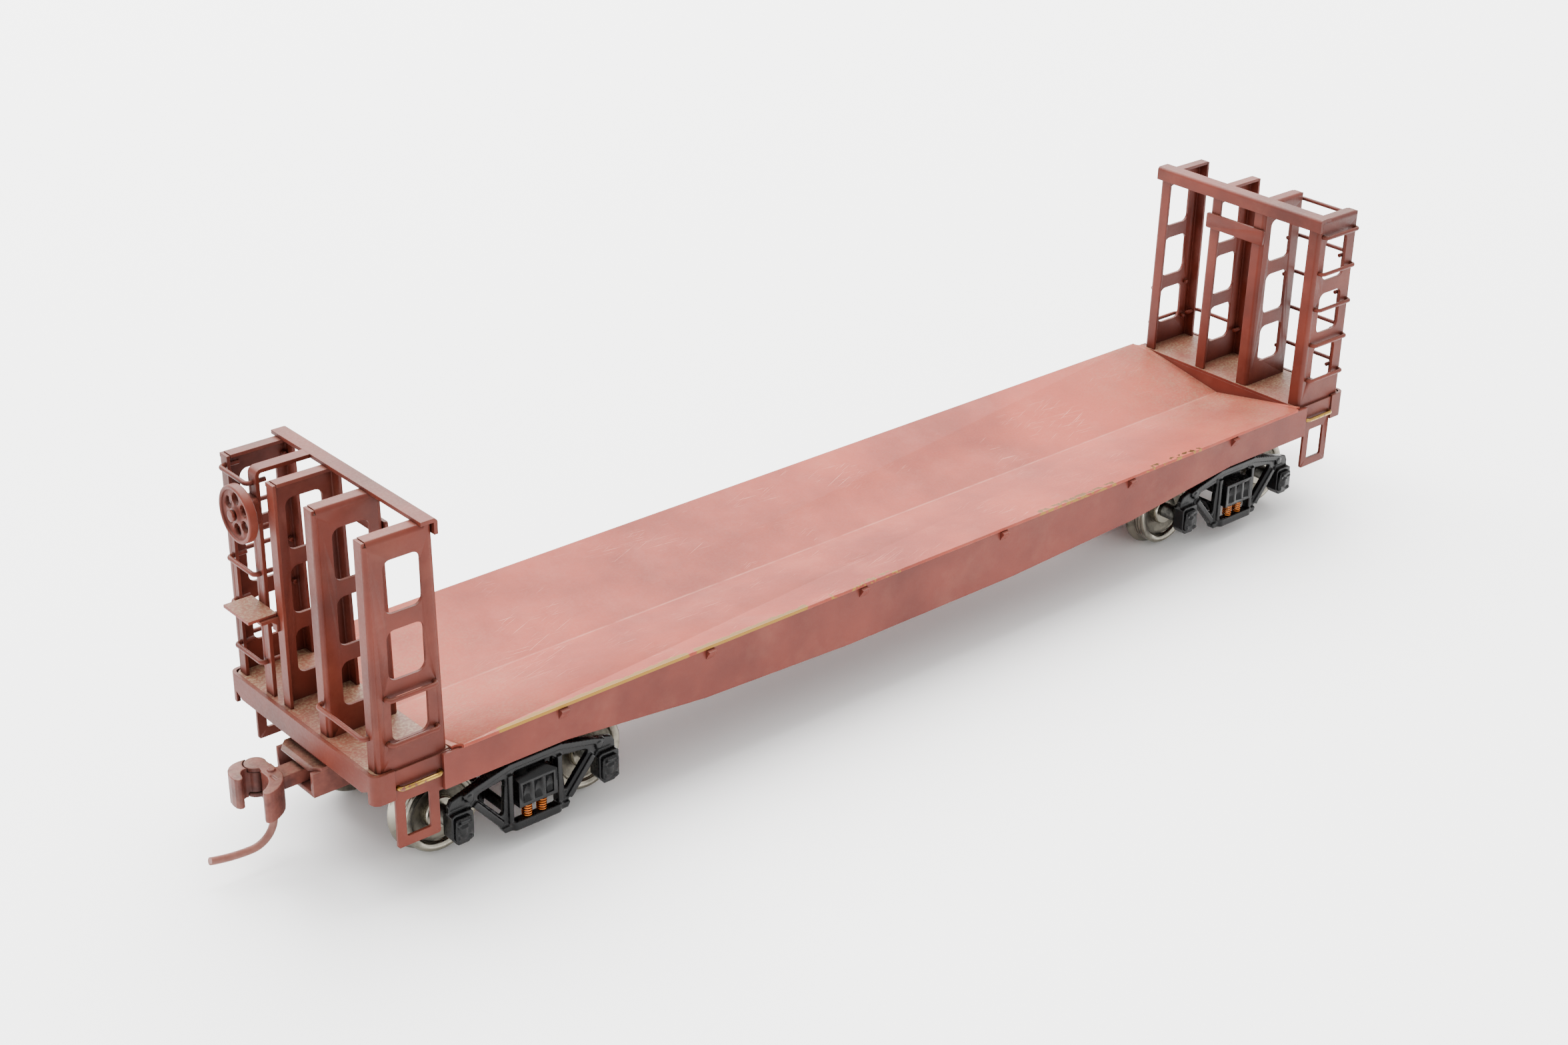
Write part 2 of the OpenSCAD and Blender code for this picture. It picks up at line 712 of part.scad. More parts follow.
module sill_grabs() {
    color(brass) at_both_ends() for (side = [-1, 1])
        side_staple(side, panel_y, sill_leg_in, sill_leg_out, sill_grab_z, sill_grab_reach, panel_t + side_stub);
}

// ---- Hand brake, at end B ----

module at_brake() {
    rotate([0, 0, 180]) translate([0, -brake_y, 0]) children();
}

module brake_strap() {
    top = post_top + beam_t;
    start = leaning(load_x, post_top - beam_leg_h + beam_t) - beam_t + beam_top_w;
    color(oxide) at_brake() difference() {
        translate([outer_x, strap_w / 2, 0]) rotate([90, 0, 0]) mirror([1, 0, 0]) linear_extrude(strap_w)
            translate([0, top]) mirror([0, 1]) bent_section(outer_x - start, top - platform_z, beam_t, strap_bend_r);
        flange_holes(0, end_rung_z);
    }
}

module brake_housing() {
    color(oxide) at_brake() difference() {
        translate([outer_x, -housing[0] / 2, brake_z - housing[1] / 2]) plate_x(housing[2])
            rounded_rect(housing[0], housing[1], 0.5);
        translate([outer_x - 1, 0, brake_z]) rotate([0, 90, 0])
            cylinder(d = brake_shaft_d + 2 * wire_fit, h = housing[2] + 2, $fn = round_fn);
    }
}

module brake_shaft() {
    cap_l = 0.35;
    reach = housing[2] + wheel_gap + hub_l + wheel_gap / 2;
    color(oxide) at_brake() translate([outer_x, 0, brake_z]) rotate([0, 90, 0]) {
        cylinder(d = brake_shaft_d, h = reach + cap_l, $fn = round_fn);
        translate([0, 0, reach]) cylinder(d = 1.6 * brake_shaft_d, h = cap_l, $fn = round_fn);
    }
}

// Deep rim and a web with six round openings, on a hub that turns on the shaft
module brake_wheel() {
    rim_w = 0.5;
    rim_r = brake_wheel_d / 2;
    hub_r = 0.85;
    web_t = 0.5;
    web_up = 0.3;
    opening_r = brake_wheel_d * 0.11;
    opening_at = brake_wheel_d * 0.275;
    color(oxide_dark) at_brake() translate([wheel_back_x, 0, brake_z]) rotate([0, 90, 0]) difference() {
        union() {
            rotate_extrude($fn = 96) translate([rim_r - rim_w, 0]) rounded_rect(rim_w, brake_rim_l, 0.2);
            translate([0, 0, web_up]) linear_extrude(web_t) difference() {
                circle(r = rim_r - rim_w / 2, $fn = 96);
                for (turn = [0:60:359]) rotate(turn) translate([opening_at, 0]) circle(r = opening_r, $fn = round_fn);
            }
            cylinder(r = hub_r, h = hub_l, $fn = round_fn);
        }
        translate([0, 0, -1]) cylinder(d = brake_shaft_d + 2 * pivot_fit, h = hub_l + 2, $fn = round_fn);
    }
}

module brake_step() {
    side_gap = 0.35;
    color(oxide) at_brake() translate([outer_x, -brake_step[1] / 2 + side_gap, brake_step_z - brake_step[2]])
        cube([brake_step[0], brake_step[1], brake_step[2]]);
}

module brake_brackets() {
    width = 0.9;
    under = brake_step_z - brake_step[2];
    on_strap = [-width / 2, 1];
    on_post = [brake_y - inner_post_y + post_t - width + 0.5, 1.7];
    color(oxide) at_brake() for (place = [on_strap, on_post])
        translate([outer_x, place[0], under]) mirror([0, 0, 1]) plate_y(width) polygon([
            [0, 0], [2.2, 0], [2.2, 0.35], [0.9, 0.35], [0.35, 0.8], [0.35, place[1]], [0, place[1]]
        ]);
}

// ---- Couplers, drawn in the frame of end A ----

module coupler_boxes() {
    start = box_front_x - box_l;
    mouth = box_w - 2 * box_wall;
    color(oxide) at_both_ends() difference() {
        translate([start, -box_w / 2, box_low]) cube([box_l, box_w, box_h]);
        difference() {
            translate([start + box_wall, -mouth / 2, box_low + box_wall]) cube([box_l, mouth, box_h]);
            translate([pivot_x, 0, 0]) cylinder(d = pivot_d, h = box_top_z, $fn = round_fn);
        }
        translate([pivot_x, 0, 0]) cylinder(d = pivot_d / 2 + 2 * wire_fit, h = box_top_z + 1, $fn = round_fn);
    }
}

module coupler_lids() {
    start = box_front_x - box_l;
    corner = 1.1;
    color(oxide) at_both_ends() difference() {
        intersection() {
            translate([0, box_w / 2, 0]) rotate([90, 0, 0]) linear_extrude(box_w) polygon([
                [start, box_top_z], [box_front_x, box_top_z], [box_front_x, box_top_z + lid_t / 2],
                [box_front_x - 0.5, block_low], [start, block_low]
            ]);
            translate([0, 0, box_top_z - 1]) linear_extrude(lid_t + 2) polygon([
                [start - 1, -box_w / 2], [box_front_x - corner, -box_w / 2], [box_front_x + 0.01, corner - box_w / 2],
                [box_front_x + 0.01, box_w / 2 - corner], [box_front_x - corner, box_w / 2], [start - 1, box_w / 2]
            ]);
        }
        translate([pivot_x, 0, 0]) cylinder(d = pivot_d / 2 + 2 * wire_fit, h = block_low + 1, $fn = round_fn);
    }
}

module coupler_screws() {
    head_t = 0.6;
    color(steel) at_both_ends() translate([pivot_x, 0, box_low]) difference() {
        union() {
            cylinder(d = pivot_d / 2, h = platform_low - 1.2 - box_low, $fn = round_fn);
            translate([0, 0, -head_t]) cylinder(d = pivot_d, h = head_t, $fn = round_fn);
        }
        translate([-pivot_d, -0.2, -head_t - 1]) cube([2 * pivot_d, 0.4, 1.3]);
    }
}

module head_outline() {
    polygon([
        [head_x, -1.2], [head_x, 1.2], [head_x + 0.3, 2], [head_x + 0.8, 2.75], [head_x + 1.4, 3.3],
        [head_x + 2.1, 3.75], [head_x + 2.7, 4.02], [head_x + 3.2, 4.12], [head_x + 3.6, 4], [head_x + 3.75, 3.7],
        [head_x + 3.6, 3.2], [head_x + 2.95, 2.8], [head_x + 2.4, 2.3], [head_x + 2, 1.75], [head_x + 1.75, 1.1],
        [head_x + 1.75, -0.35], [head_x + 1.2, -0.8], [head_x + 0.5, -1.2]
    ]);
}

module coupler() {
    ear_back = head_x + 0.1;
    translate([0, 0, shank_low]) linear_extrude(shank_t) difference() {
        union() {
            translate([pivot_x, 0]) circle(d = pivot_d + 1.4, $fn = round_fn);
            translate([pivot_x, -shank_w / 2]) square([head_x - pivot_x + 0.25, shank_w]);
        }
        translate([pivot_x, 0]) circle(r = pivot_d / 2 + pivot_fit, $fn = round_fn);
    }
    difference() {
        union() {
            translate([0, 0, head_low]) linear_extrude(head_h) head_outline();
            for (z = [head_low, head_top - ear_h]) translate([0, 0, z]) linear_extrude(ear_h) {
                translate(knuckle_at) circle(r = ear_r, $fn = round_fn);
                polygon([
                    [ear_back, 0], [ear_back, -1.5], [knuckle_at.x - 1.1, knuckle_at.y - 0.4],
                    knuckle_at, [knuckle_at.x + 0.3, -0.5]
                ]);
            }
            translate([trip_x, 0, head_low - 1.15]) cylinder(r = 0.95, h = 1.5, $fn = round_fn);
        }
        translate([knuckle_at.x, knuckle_at.y, head_low + ear_h])
            cylinder(r = ear_r + 0.1, h = head_h - 2 * ear_h, $fn = round_fn);
        translate([trip_x, 0, 0]) cylinder(d = trip_d + 2 * wire_fit, h = coupler_z, $fn = round_fn);
        translate([head_x + 1.1, 1, head_top - 0.15]) cube([0.35, 1.1, 1]);
    }
    translate([knuckle_at.x, knuckle_at.y, head_low + eps]) cylinder(r = knuckle_pin_r, h = head_h - 2 * eps, $fn = round_fn);
    translate([head_x + 0.75, 0.15, head_top - eps]) cylinder(r = 0.45, h = 0.25, $fn = round_fn);
}

module knuckle() {
    low = head_low + ear_h + knuckle_gap;
    nose = [head_x + 4.75, -0.45];
    difference() {
        union() {
            translate([knuckle_at.x, knuckle_at.y, low])
                cylinder(r = ear_r - 0.1, h = head_h - 2 * (ear_h + knuckle_gap), $fn = round_fn);
            translate([0, 0, head_low]) linear_extrude(head_h) polygon([
                [knuckle_at.x - 0.3, knuckle_at.y - 1.1], [head_x + 1.9, -3.68], [head_x + 2.6, -3.78],
                [head_x + 3.3, -3.68], [head_x + 3.9, -3.38], [head_x + 4.4, -2.85], [head_x + 4.7, -2.2],
                [head_x + 4.82, -1.4], [nose.x + 0.02, nose.y - 0.25], [nose.x - 0.2, nose.y + 0.12],
                [nose.x - 0.5, nose.y + 0.22], [nose.x - 0.8, nose.y + 0.1], [nose.x - 0.98, nose.y - 0.25],
                [nose.x - 1.15, nose.y - 0.95], [nose.x - 1.45, nose.y - 1.35], [nose.x - 1.9, nose.y - 1.5],
                [knuckle_at.x + 1, knuckle_at.y + 0.55], [knuckle_at.x, knuckle_at.y]
            ]);
        }
        for (z = [head_low - 1, head_top - ear_h - knuckle_gap]) translate([knuckle_at.x, knuckle_at.y, z])
            cylinder(r = ear_r + 0.1, h = 1 + ear_h + knuckle_gap, $fn = round_fn);
        translate([knuckle_at.x, knuckle_at.y, 0])
            cylinder(r = knuckle_pin_r + pivot_fit, h = platform_z, $fn = round_fn);
    }
}

module trip_pin() {
    bend_z = trip_low + trip_bend_r;
    translate([trip_x, 0, bend_z]) cylinder(d = trip_d, h = coupler_z - 0.1 - bend_z, $fn = round_fn);
    translate([trip_x + trip_bend_r, 0, bend_z]) rotate([90, 0, 0]) rotate([0, 0, 180])
        rotate_extrude(angle = 90, $fn = 96) translate([trip_bend_r, 0]) circle(d = trip_d, $fn = round_fn);
    translate([trip_x + trip_bend_r, 0, trip_low + trip_sweep_r]) rotate([90, 0, 0]) rotate([0, 0, -90])
        rotate_extrude(angle = trip_sweep, $fn = 96) translate([trip_sweep_r, 0]) circle(d = trip_d, $fn = round_fn);
}

// ---- Trucks, each drawn about its own centre ----

module truck_place(end) {
    translate([end * truck_x, 0, 0]) rotate([0, 0, end > 0 ? 0 : 180]) children();
}

module truck_bolster() {
    difference() {
        union() {
            translate([-bolster_bar_half, -frame_y + 0.05, bolster_bar_low])
                cube([2 * bolster_bar_half, 2 * frame_y - 0.1, bolster_bar_top - bolster_bar_low]);
            translate([0, 0, bolster_bar_top - 1]) cylinder(d = pad_d, h = 1 + pad_z - bolster_bar_top - bowl_gap, $fn = round_fn);
            for (side = [-1, 1]) translate([0, side * (frame_y + bolster_face_y) / 2, 0]) difference() {
                translate([-bolster_half, -(bolster_face_y - frame_y) / 2 - 0.3, bolster_end_z])
                    cube([2 * bolster_half, bolster_face_y - frame_y + 0.6, bolster_end_top - bolster_end_z]);
                for (i = [-1, 0, 1]) translate([i * 1.55 - 0.55, side * 0.925 - 0.35, bolster_end_z + 0.45])
                    cube([1.1, 0.7, bolster_end_top - bolster_end_z - 0.9]);
            }
        }
        translate([0, 0, -1]) cylinder(r = screw_r + pivot_fit, h = platform_z, $fn = round_fn);
    }
}

function frame_outline() = mirrored([
    [3.6, frame_top_z], [6.3, frame_top_z - 0.5], [8.6, frame_top_z - 1.3], [wheelbase / 2 + 0.9, frame_top_z - 2],
    [wheelbase / 2 + 1.3, frame_top_z - 2.7], [wheelbase / 2 + 1.3, axle_z - 1],
    [wheelbase / 2 - 1.3, axle_z - 1], [wheelbase / 2 - 1.3, axle_z + 1.5], [wheelbase / 2 - 1.7, axle_z + 1.85],
    [strut_foot_x, seat_z - 0.1], [strut_foot_x - 0.45, frame_bottom_z]
]);

module frame_windows() {
    polygon(mirrored([[column_in - 0.4, window_top_z], [column_in, window_top_z - 0.5], [column_in, seat_z]]));
    for (side = [0, 1]) mirror([side, 0]) polygon([
        [column_out - 0.45, window_top_z - 0.4], [wheelbase / 2 - 2.8, window_top_z - 0.9],
        [wheelbase / 2 - 2.5, window_top_z - 1.15], [wheelbase / 2 - 2.5, window_top_z - 1.5],
        [column_out + 0.2, seat_z + 1.35], [column_out - 0.1, seat_z + 1.4]
    ]);
}

// One side frame, with its inner face at y = 0 and its ribs towards +Y
module side_frame() {
    rib = 0.75;
    knee = [wheelbase / 2 - 1.9, axle_z + 2.25];
    tray = [6.8, 1.5];
    lip = 0.22;
    depth = journal_face_y - journal_box_y;
    difference() {
        union() {
            plate_y(frame_t) difference() {
                polygon(frame_outline());
                frame_windows();
            }
            plate_y(frame_t + frame_rib) difference() {
                intersection() {
                    union() {
                        bar([-3.6, frame_top_z - rib / 2], [3.6, frame_top_z - rib / 2], rib);
                        for (side = [-1, 1]) {
                            bar([side * 3.3, frame_top_z - rib / 2], [side * 9.6, frame_top_z - 1.85], rib);
                            bar([side * (strut_foot_x - 0.15), seat_z + 0.35], [side * knee.x, knee.y], rib);
                            bar([side * (column_in + 0.35), seat_z], [side * (column_in + 0.35), window_top_z], rib - 0.1);
                        }
                        bar([-4.6, frame_bottom_z + rib / 2], [4.6, frame_bottom_z + rib / 2], rib);
                    }
                    polygon(frame_outline());
                }
                frame_windows();
            }
            for (side = [-1, 1]) {
                translate([side * wheelbase / 2, journal_box_y - frame_y, axle_z]) plate_y(depth)
                    polygon(mirrored([[box_half - 0.4, 2.15], [box_half, 1.9], [box_half, -1], [0.75, -1.85]]));
                translate([side * (wheelbase / 2 - 1.2), 0, frame_top_z - 2.2]) rotate([-90, 0, 0])
                    cylinder(r = 0.45, h = frame_t + frame_rib + 0.15, $fn = round_fn);
            }
            translate([-tray.x / 2, 0, frame_bottom_z]) linear_extrude(seat_z - frame_bottom_z) rounded_rect(tray.x, tray.y, 0.6);
            translate([0, 0, seat_z - eps]) linear_extrude(lip) difference() {
                translate([-tray.x / 2, 0]) rounded_rect(tray.x, tray.y, 0.6);
                translate([lip - tray.x / 2, -1]) square([tray.x - 2 * lip, tray.y + 1 - lip]);
            }
        }
        for (side = [-1, 1]) translate([side * wheelbase / 2, journal_box_y - frame_y - 1, axle_z]) rotate([-90, 0, 0])
            cylinder(r = journal_r + journal_fit, h = 2, $fn = round_fn);
    }
}

module side_frames() {
    for (side = [0, 1]) mirror([0, side, 0]) translate([0, frame_y, 0]) side_frame();
}

module journal_lids() {
    w = 2.2;
    h = 3;
    for (side = [0, 1]) mirror([0, side, 0]) for (way = [-1, 1])
        translate([way * wheelbase / 2, journal_face_y, axle_z + 0.15]) {
            translate([-w / 2, 0, -h / 2]) plate_y(lid_l) rounded_rect(w, h, 0.45);
            translate([-0.6, lid_l - 0.05, h / 2 - 0.35]) rotate([0, 90, 0]) cylinder(r = 0.3, h = 1.2, $fn = 24);
            translate([-0.55, lid_l - 0.05, -0.75]) plate_y(0.2) rounded_rect(1.1, 1.2, 0.3);
            for (bolt = [[-0.8, 0.75], [0.8, 0.75], [-0.8, -1.1], [0.8, -1.1]])
                translate([bolt.x, lid_l - 0.05, bolt.y]) rotate([-90, 0, 0]) cylinder(r = 0.2, h = 0.2, $fn = 24);
        }
}

// A column of coils, joined by a thin core
module truck_springs() {
    low = seat_z;
    high = bolster_end_z;
    pitch = (high - low - spring_wire) / (spring_coils - 1);
    coil_r = (spring_d - spring_wire) / 2;
    for (y = [-spring_y, spring_y]) for (x = [-spring_x, spring_x]) translate([x, y, 0]) {
        translate([0, 0, low]) cylinder(r = coil_r, h = high - low, $fn = round_fn);
        for (i = [0:spring_coils - 1]) translate([0, 0, low + spring_wire / 2 + i * pitch])
            rotate_extrude($fn = round_fn) translate([coil_r, 0]) circle(d = spring_wire, $fn = 24);
    }
}

// A cross beam between the side frames on each side of the bolster, with a shoe at each wheel
module brake_beams() {
    shoe_r = tread_r + 0.35;
    shoe_y = wheel_in_y + 1.15;
    for (way = [0, 1]) mirror([way, 0, 0]) {
        translate([beam_x - 0.3, -frame_y, axle_z - 0.9]) cube([0.6, 2 * frame_y, 1.1]);
        for (side = [-1, 1]) translate([wheelbase / 2, side * (shoe_y + 0.7), axle_z]) rotate([90, 0, 0]) intersection() {
            difference() {
                cylinder(r = shoe_r + 0.7, h = 1.4, center = true, $fn = 96);
                cylinder(r = shoe_r, h = 2, center = true, $fn = 96);
            }
            translate([-wheelbase / 2 + beam_x - 0.1, -1.7, -1]) cube([2.4, 3.4, 2]);
        }
        for (side = [-1, 1]) translate([beam_x, side * (shoe_y + 0.7) - 0.4, axle_z - 0.9])
            cube([wheelbase / 2 - beam_x - shoe_r - 0.3, 0.8, 1.1]);
    }
}

// One wheel on the Z axis, with its back at z = 0
module wheel() {
    groove = 0.08;
    rim = 1.1;
    tread = [for (i = [0:2]) let (z = 1.15 + i * 0.5)
        each [[tread_r, z], [tread_r - groove, z + 0.06], [tread_r - groove, z + 0.12], [tread_r, z + 0.18]]];
    rotate_extrude($fn = 120) polygon(concat(
        [[axle_r + 0.01, -0.1], [axle_r + 0.9, -0.1], [axle_r + 1, 0.7], [tread_r - rim, 0.8], [tread_r - rim + 0.1, 0],
            [axle_z - 0.25, 0], [axle_z - 0.05, 0.15], [axle_z, 0.35], [axle_z - 0.1, 0.6], [tread_r + 0.12, 0.75], [tread_r, 0.95]],
        tread,
        [[tread_r, wheel_w - 0.15], [tread_r - 0.15, wheel_w], [tread_r - rim + 0.2, wheel_w], [tread_r - rim, wheel_w - 0.55],
            [axle_r + 1.15, wheel_w - 1.1], [axle_r + 1, wheel_w - 0.15], [axle_r + 0.85, wheel_w], [axle_r + 0.01, wheel_w]]
    ));
}

module wheel_pair() {
    for (side = [0, 1]) mirror([0, side, 0]) translate([0, wheel_in_y, axle_z]) rotate([-90, 0, 0]) wheel();
}

module axle() {
    body_half = journal_box_y - 0.3;
    pin_half = journal_box_y + 0.85;
    translate([0, 0, axle_z]) rotate([90, 0, 0]) {
        cylinder(r = axle_r, h = 2 * body_half, center = true, $fn = round_fn);
        cylinder(r = journal_r, h = 2 * pin_half, center = true, $fn = round_fn);
    }
}

module truck_screws() {
    head_t = 0.9;
    low = bolster_bar_low - bowl_gap;
    color(steel) for (side = [-1, 1]) translate([side * truck_x, 0, low]) difference() {
        union() {
            cylinder(r = screw_r, h = under_deck(0) - 0.3 - low, $fn = round_fn);
            translate([0, 0, -head_t]) cylinder(r = 1.5, h = head_t, $fn = round_fn);
        }
        translate([-2, -0.25, -head_t - 1]) cube([4, 0.5, 1.45]);
    }
}

// ---- The nodes ----

deck_sheet();
side_sills();
tie_cleats();
center_sills();
cross_bearers();
body_bolsters();
end_platforms();
v_plates();
end_sills();
draft_blocks();
step_panels();
outer_posts();
inner_posts();
top_beams();
name_boards();
side_rungs();
end_rungs();
side_grabs();
end_grabs();
sill_grabs();
brake_strap();
brake_housing();
brake_shaft();
brake_wheel();
brake_step();
brake_brackets();
coupler_boxes();
coupler_lids();
coupler_screws();
truck_screws();
color(oxide) coupler();  // coupler_a
color(oxide) knuckle();  // knuckle_a
color(oxide_dark) trip_pin();  // trip_pin_a
color(oxide) rotate([0, 0, 180]) coupler();  // coupler_b
color(oxide) rotate([0, 0, 180]) knuckle();  // knuckle_b
color(oxide_dark) rotate([0, 0, 180]) trip_pin();  // trip_pin_b
color(gloss_black) truck_place(1) truck_bolster();  // truck_bolster_a
color(gloss_black) truck_place(1) side_frames();  // side_frames_a
color(copper) truck_place(1) truck_springs();  // truck_springs_a
color(gloss_black) truck_place(1) journal_lids();  // journal_lids_a
color(gloss_black) truck_place(1) brake_beams();  // brake_beams_a
color(gloss_black) truck_place(-1) truck_bolster();  // truck_bolster_b
color(gloss_black) truck_place(-1) side_frames();  // side_frames_b
color(copper) truck_place(-1) truck_springs();  // truck_springs_b
color(gloss_black) truck_place(-1) journal_lids();  // journal_lids_b
color(gloss_black) truck_place(-1) brake_beams();  // brake_beams_b
color(nickel) truck_place(1) translate([wheelbase / 2, 0, 0]) wheel_pair();  // wheels_a_outer
color(steel) truck_place(1) translate([wheelbase / 2, 0, 0]) axle();  // axle_a_outer
color(nickel) truck_place(1) translate([-wheelbase / 2, 0, 0]) wheel_pair();  // wheels_a_inner
color(steel) truck_place(1) translate([-wheelbase / 2, 0, 0]) axle();  // axle_a_inner
color(nickel) truck_place(-1) translate([wheelbase / 2, 0, 0]) wheel_pair();  // wheels_b_outer
color(steel) truck_place(-1) translate([wheelbase / 2, 0, 0]) axle();  // axle_b_outer
color(nickel) truck_place(-1) translate([-wheelbase / 2, 0, 0]) wheel_pair();  // wheels_b_inner
color(steel) truck_place(-1) translate([-wheelbase / 2, 0, 0]) axle();  // axle_b_inner
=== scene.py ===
import json
import math
import bpy
import bmesh
from mathutils import Matrix, Vector


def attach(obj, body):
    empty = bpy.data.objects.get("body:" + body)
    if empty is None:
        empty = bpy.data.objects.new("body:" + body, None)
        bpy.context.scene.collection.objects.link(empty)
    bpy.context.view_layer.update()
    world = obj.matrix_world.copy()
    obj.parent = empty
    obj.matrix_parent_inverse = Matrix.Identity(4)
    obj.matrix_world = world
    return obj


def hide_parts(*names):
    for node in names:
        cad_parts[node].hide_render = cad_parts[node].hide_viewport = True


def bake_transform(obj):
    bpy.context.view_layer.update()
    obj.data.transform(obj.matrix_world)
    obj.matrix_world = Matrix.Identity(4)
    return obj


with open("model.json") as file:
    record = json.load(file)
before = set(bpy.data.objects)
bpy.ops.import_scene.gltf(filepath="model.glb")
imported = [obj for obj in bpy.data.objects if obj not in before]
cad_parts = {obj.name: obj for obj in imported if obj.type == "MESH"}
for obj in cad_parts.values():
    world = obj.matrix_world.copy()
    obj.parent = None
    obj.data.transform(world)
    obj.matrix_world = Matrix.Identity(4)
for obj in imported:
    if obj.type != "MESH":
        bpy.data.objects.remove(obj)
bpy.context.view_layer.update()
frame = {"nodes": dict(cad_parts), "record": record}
mm = 0.001


def hexColour(text):  # sRGB hex to the linear values that shaders take
    parts = [int(text[i:i + 2], 16) / 255 for i in (1, 3, 5)]
    return tuple(p / 12.92 if p <= 0.04045 else ((p + 0.055) / 1.055) ** 2.4 for p in parts) + (1.0,)


def addNode(tree, kind, inputs=None, **settings):  # a node with its settings, values and links
    node = tree.nodes.new(kind)
    for name, value in settings.items():
        setattr(node, name, value)
    for name, value in (inputs or {}).items():
        if isinstance(value, bpy.types.NodeSocket):
            tree.links.new(value, node.inputs[name])
        else:
            node.inputs[name].default_value = value
    return node


def newMaterial(name):
    material = bpy.data.materials.new(name)
    material.use_nodes = True
    material.node_tree.nodes.clear()
    return material, material.node_tree


def finishSurface(tree, links, **fixed):  # links come from nodes, fixed values sit on the sockets
    shader = addNode(tree, "ShaderNodeBsdfPrincipled", dict(links, **fixed))
    addNode(tree, "ShaderNodeOutputMaterial", {"Surface": shader.outputs["BSDF"]})


cameraPlace = {
    "position": (-196.27, -210.70, 159.03),  # mm
    "target": (-11.556, 0.0, 18.997),
    "roll": 0.974,  # degrees about the line of sight
    "lens": 57.85,
}


def makeCamera(place):
    camera = bpy.data.cameras.new("camera")
    camera.lens = place["lens"]
    camera.sensor_width = 36
    camera.clip_start = 0.01
    camera.clip_end = 50
    holder = bpy.data.objects.new("camera", camera)
    eye = Vector(place["position"]) * mm
    back = (eye - Vector(place["target"]) * mm).normalized()
    right = Vector((0, 0, 1)).cross(back).normalized()
    roll = Matrix.Rotation(math.radians(place["roll"]), 3, "Z")
    turn = Matrix((right, back.cross(right), back)).transposed() @ roll
    holder.matrix_world = Matrix.Translation(eye) @ turn.to_4x4()
    bpy.context.scene.collection.objects.link(holder)
    bpy.context.scene.camera = holder


studio = {
    "floor": "#f6f6f5",
    "world": 1.75,
    "overhead": (105.0, (1.8, 1.8), (0.2, 0.6, 1.05)),  # power in watts, size and place in metres
    "front": (0.3, (0.6, 0.4), (-0.55, -0.55, 0.35)),
    "aim": (0, 0, 0.02),
    "floorHalf": 3.0,
    "toothMm": 0.2,
}


def makeLight(name, values, aim):
    power, size, place = values
    light = bpy.data.lights.new(name, "AREA")
    light.energy = power
    light.shape = "RECTANGLE"
    light.size, light.size_y = size
    holder = bpy.data.objects.new(name, light)
    holder.location = Vector(place)
    holder.rotation_euler = (Vector(aim) - Vector(place)).to_track_quat("-Z", "Y").to_euler()
    bpy.context.scene.collection.objects.link(holder)


def makeStudio(values):
    world = bpy.data.worlds.new("studio")
    bpy.context.scene.world = world
    world.use_nodes = True
    background = world.node_tree.nodes["Background"]
    background.inputs["Color"].default_value = (1.0, 1.0, 1.0, 1.0)
    background.inputs["Strength"].default_value = values["world"]
    material, tree = newMaterial("mattPaperSweep")  # pressed paper, a soft even white with a faint tooth
    coords = addNode(tree, "ShaderNodeTexCoord")
    tooth = addNode(tree, "ShaderNodeTexNoise", {
        "Vector": coords.outputs["Object"], "Scale": 900.0, "Detail": 3.0})
    bump = addNode(tree, "ShaderNodeBump", {
        "Height": tooth.outputs["Fac"], "Strength": 0.05, "Distance": values["toothMm"] * mm})
    finishSurface(tree, {"Normal": bump.outputs["Normal"]}, **{
        "Base Color": hexColour(values["floor"]), "Roughness": 0.8})
    half = values["floorHalf"]
    mesh = bpy.data.meshes.new("floor")
    corners = [(-half, -half, 0), (half, -half, 0), (half, half, 0), (-half, half, 0)]
    mesh.from_pydata(corners, [], [(0, 1, 2, 3)])
    mesh.materials.append(material)
    floor = bpy.data.objects.new("floor", mesh)
    bpy.context.scene.collection.objects.link(floor)
    makeLight("overheadSoftbox", values["overhead"], values["aim"])
    makeLight("frontFill", values["front"], values["aim"])


makeCamera(cameraPlace)
makeStudio(studio)
print("studio ready")


def objectPlace(tree):  # Object coordinates as a vector and as X, Y and Z in metres
    coords = addNode(tree, "ShaderNodeTexCoord").outputs["Object"]
    place = addNode(tree, "ShaderNodeSeparateXYZ", {"Vector": coords})
    return coords, place.outputs["X"], place.outputs["Y"], place.outputs["Z"]


levels = {
    "patchRoughness": 0.62,
    "edgeMatch": (0.97, 0.80),  # agreement of the rounded and true normals where rub starts and is full
    "lookingUp": (0.6, 0.95),  # height of the normal where dust starts to lie and lies fully
    "shaded": (0.75, 0.25),  # open sky at the mouth of a corner and deep in it
}


def spread(tree, value, low, high):  # low..high becomes 0..1, held at both ends
    return addNode(tree, "ShaderNodeMapRange", {
        "Value": value, "From Min": low, "From Max": high}).outputs[0]


def maths(tree, operation, a, b=0.0):
    return addNode(tree, "ShaderNodeMath", {0: a, 1: b}, operation=operation).outputs[0]


def product(tree, *values):
    total = values[0]
    for value in values[1:]:
        total = maths(tree, "MULTIPLY", total, value)
    return total


def noise(tree, vector, sizeMm, detail):  # fine noise with features about sizeMm across
    return addNode(tree, "ShaderNodeTexNoise", {
        "Vector": vector, "Scale": 1 / (sizeMm * mm), "Detail": detail}).outputs["Fac"]


def blotch(tree, vector, sizeMm, low, high, detail=4.0):  # patches about sizeMm across
    patch = addNode(tree, "ShaderNodeTexNoise", {
        "Vector": vector, "Scale": 1 / (sizeMm * mm), "Detail": detail,
        "Roughness": levels["patchRoughness"]})
    return spread(tree, patch.outputs["Fac"], low, high)


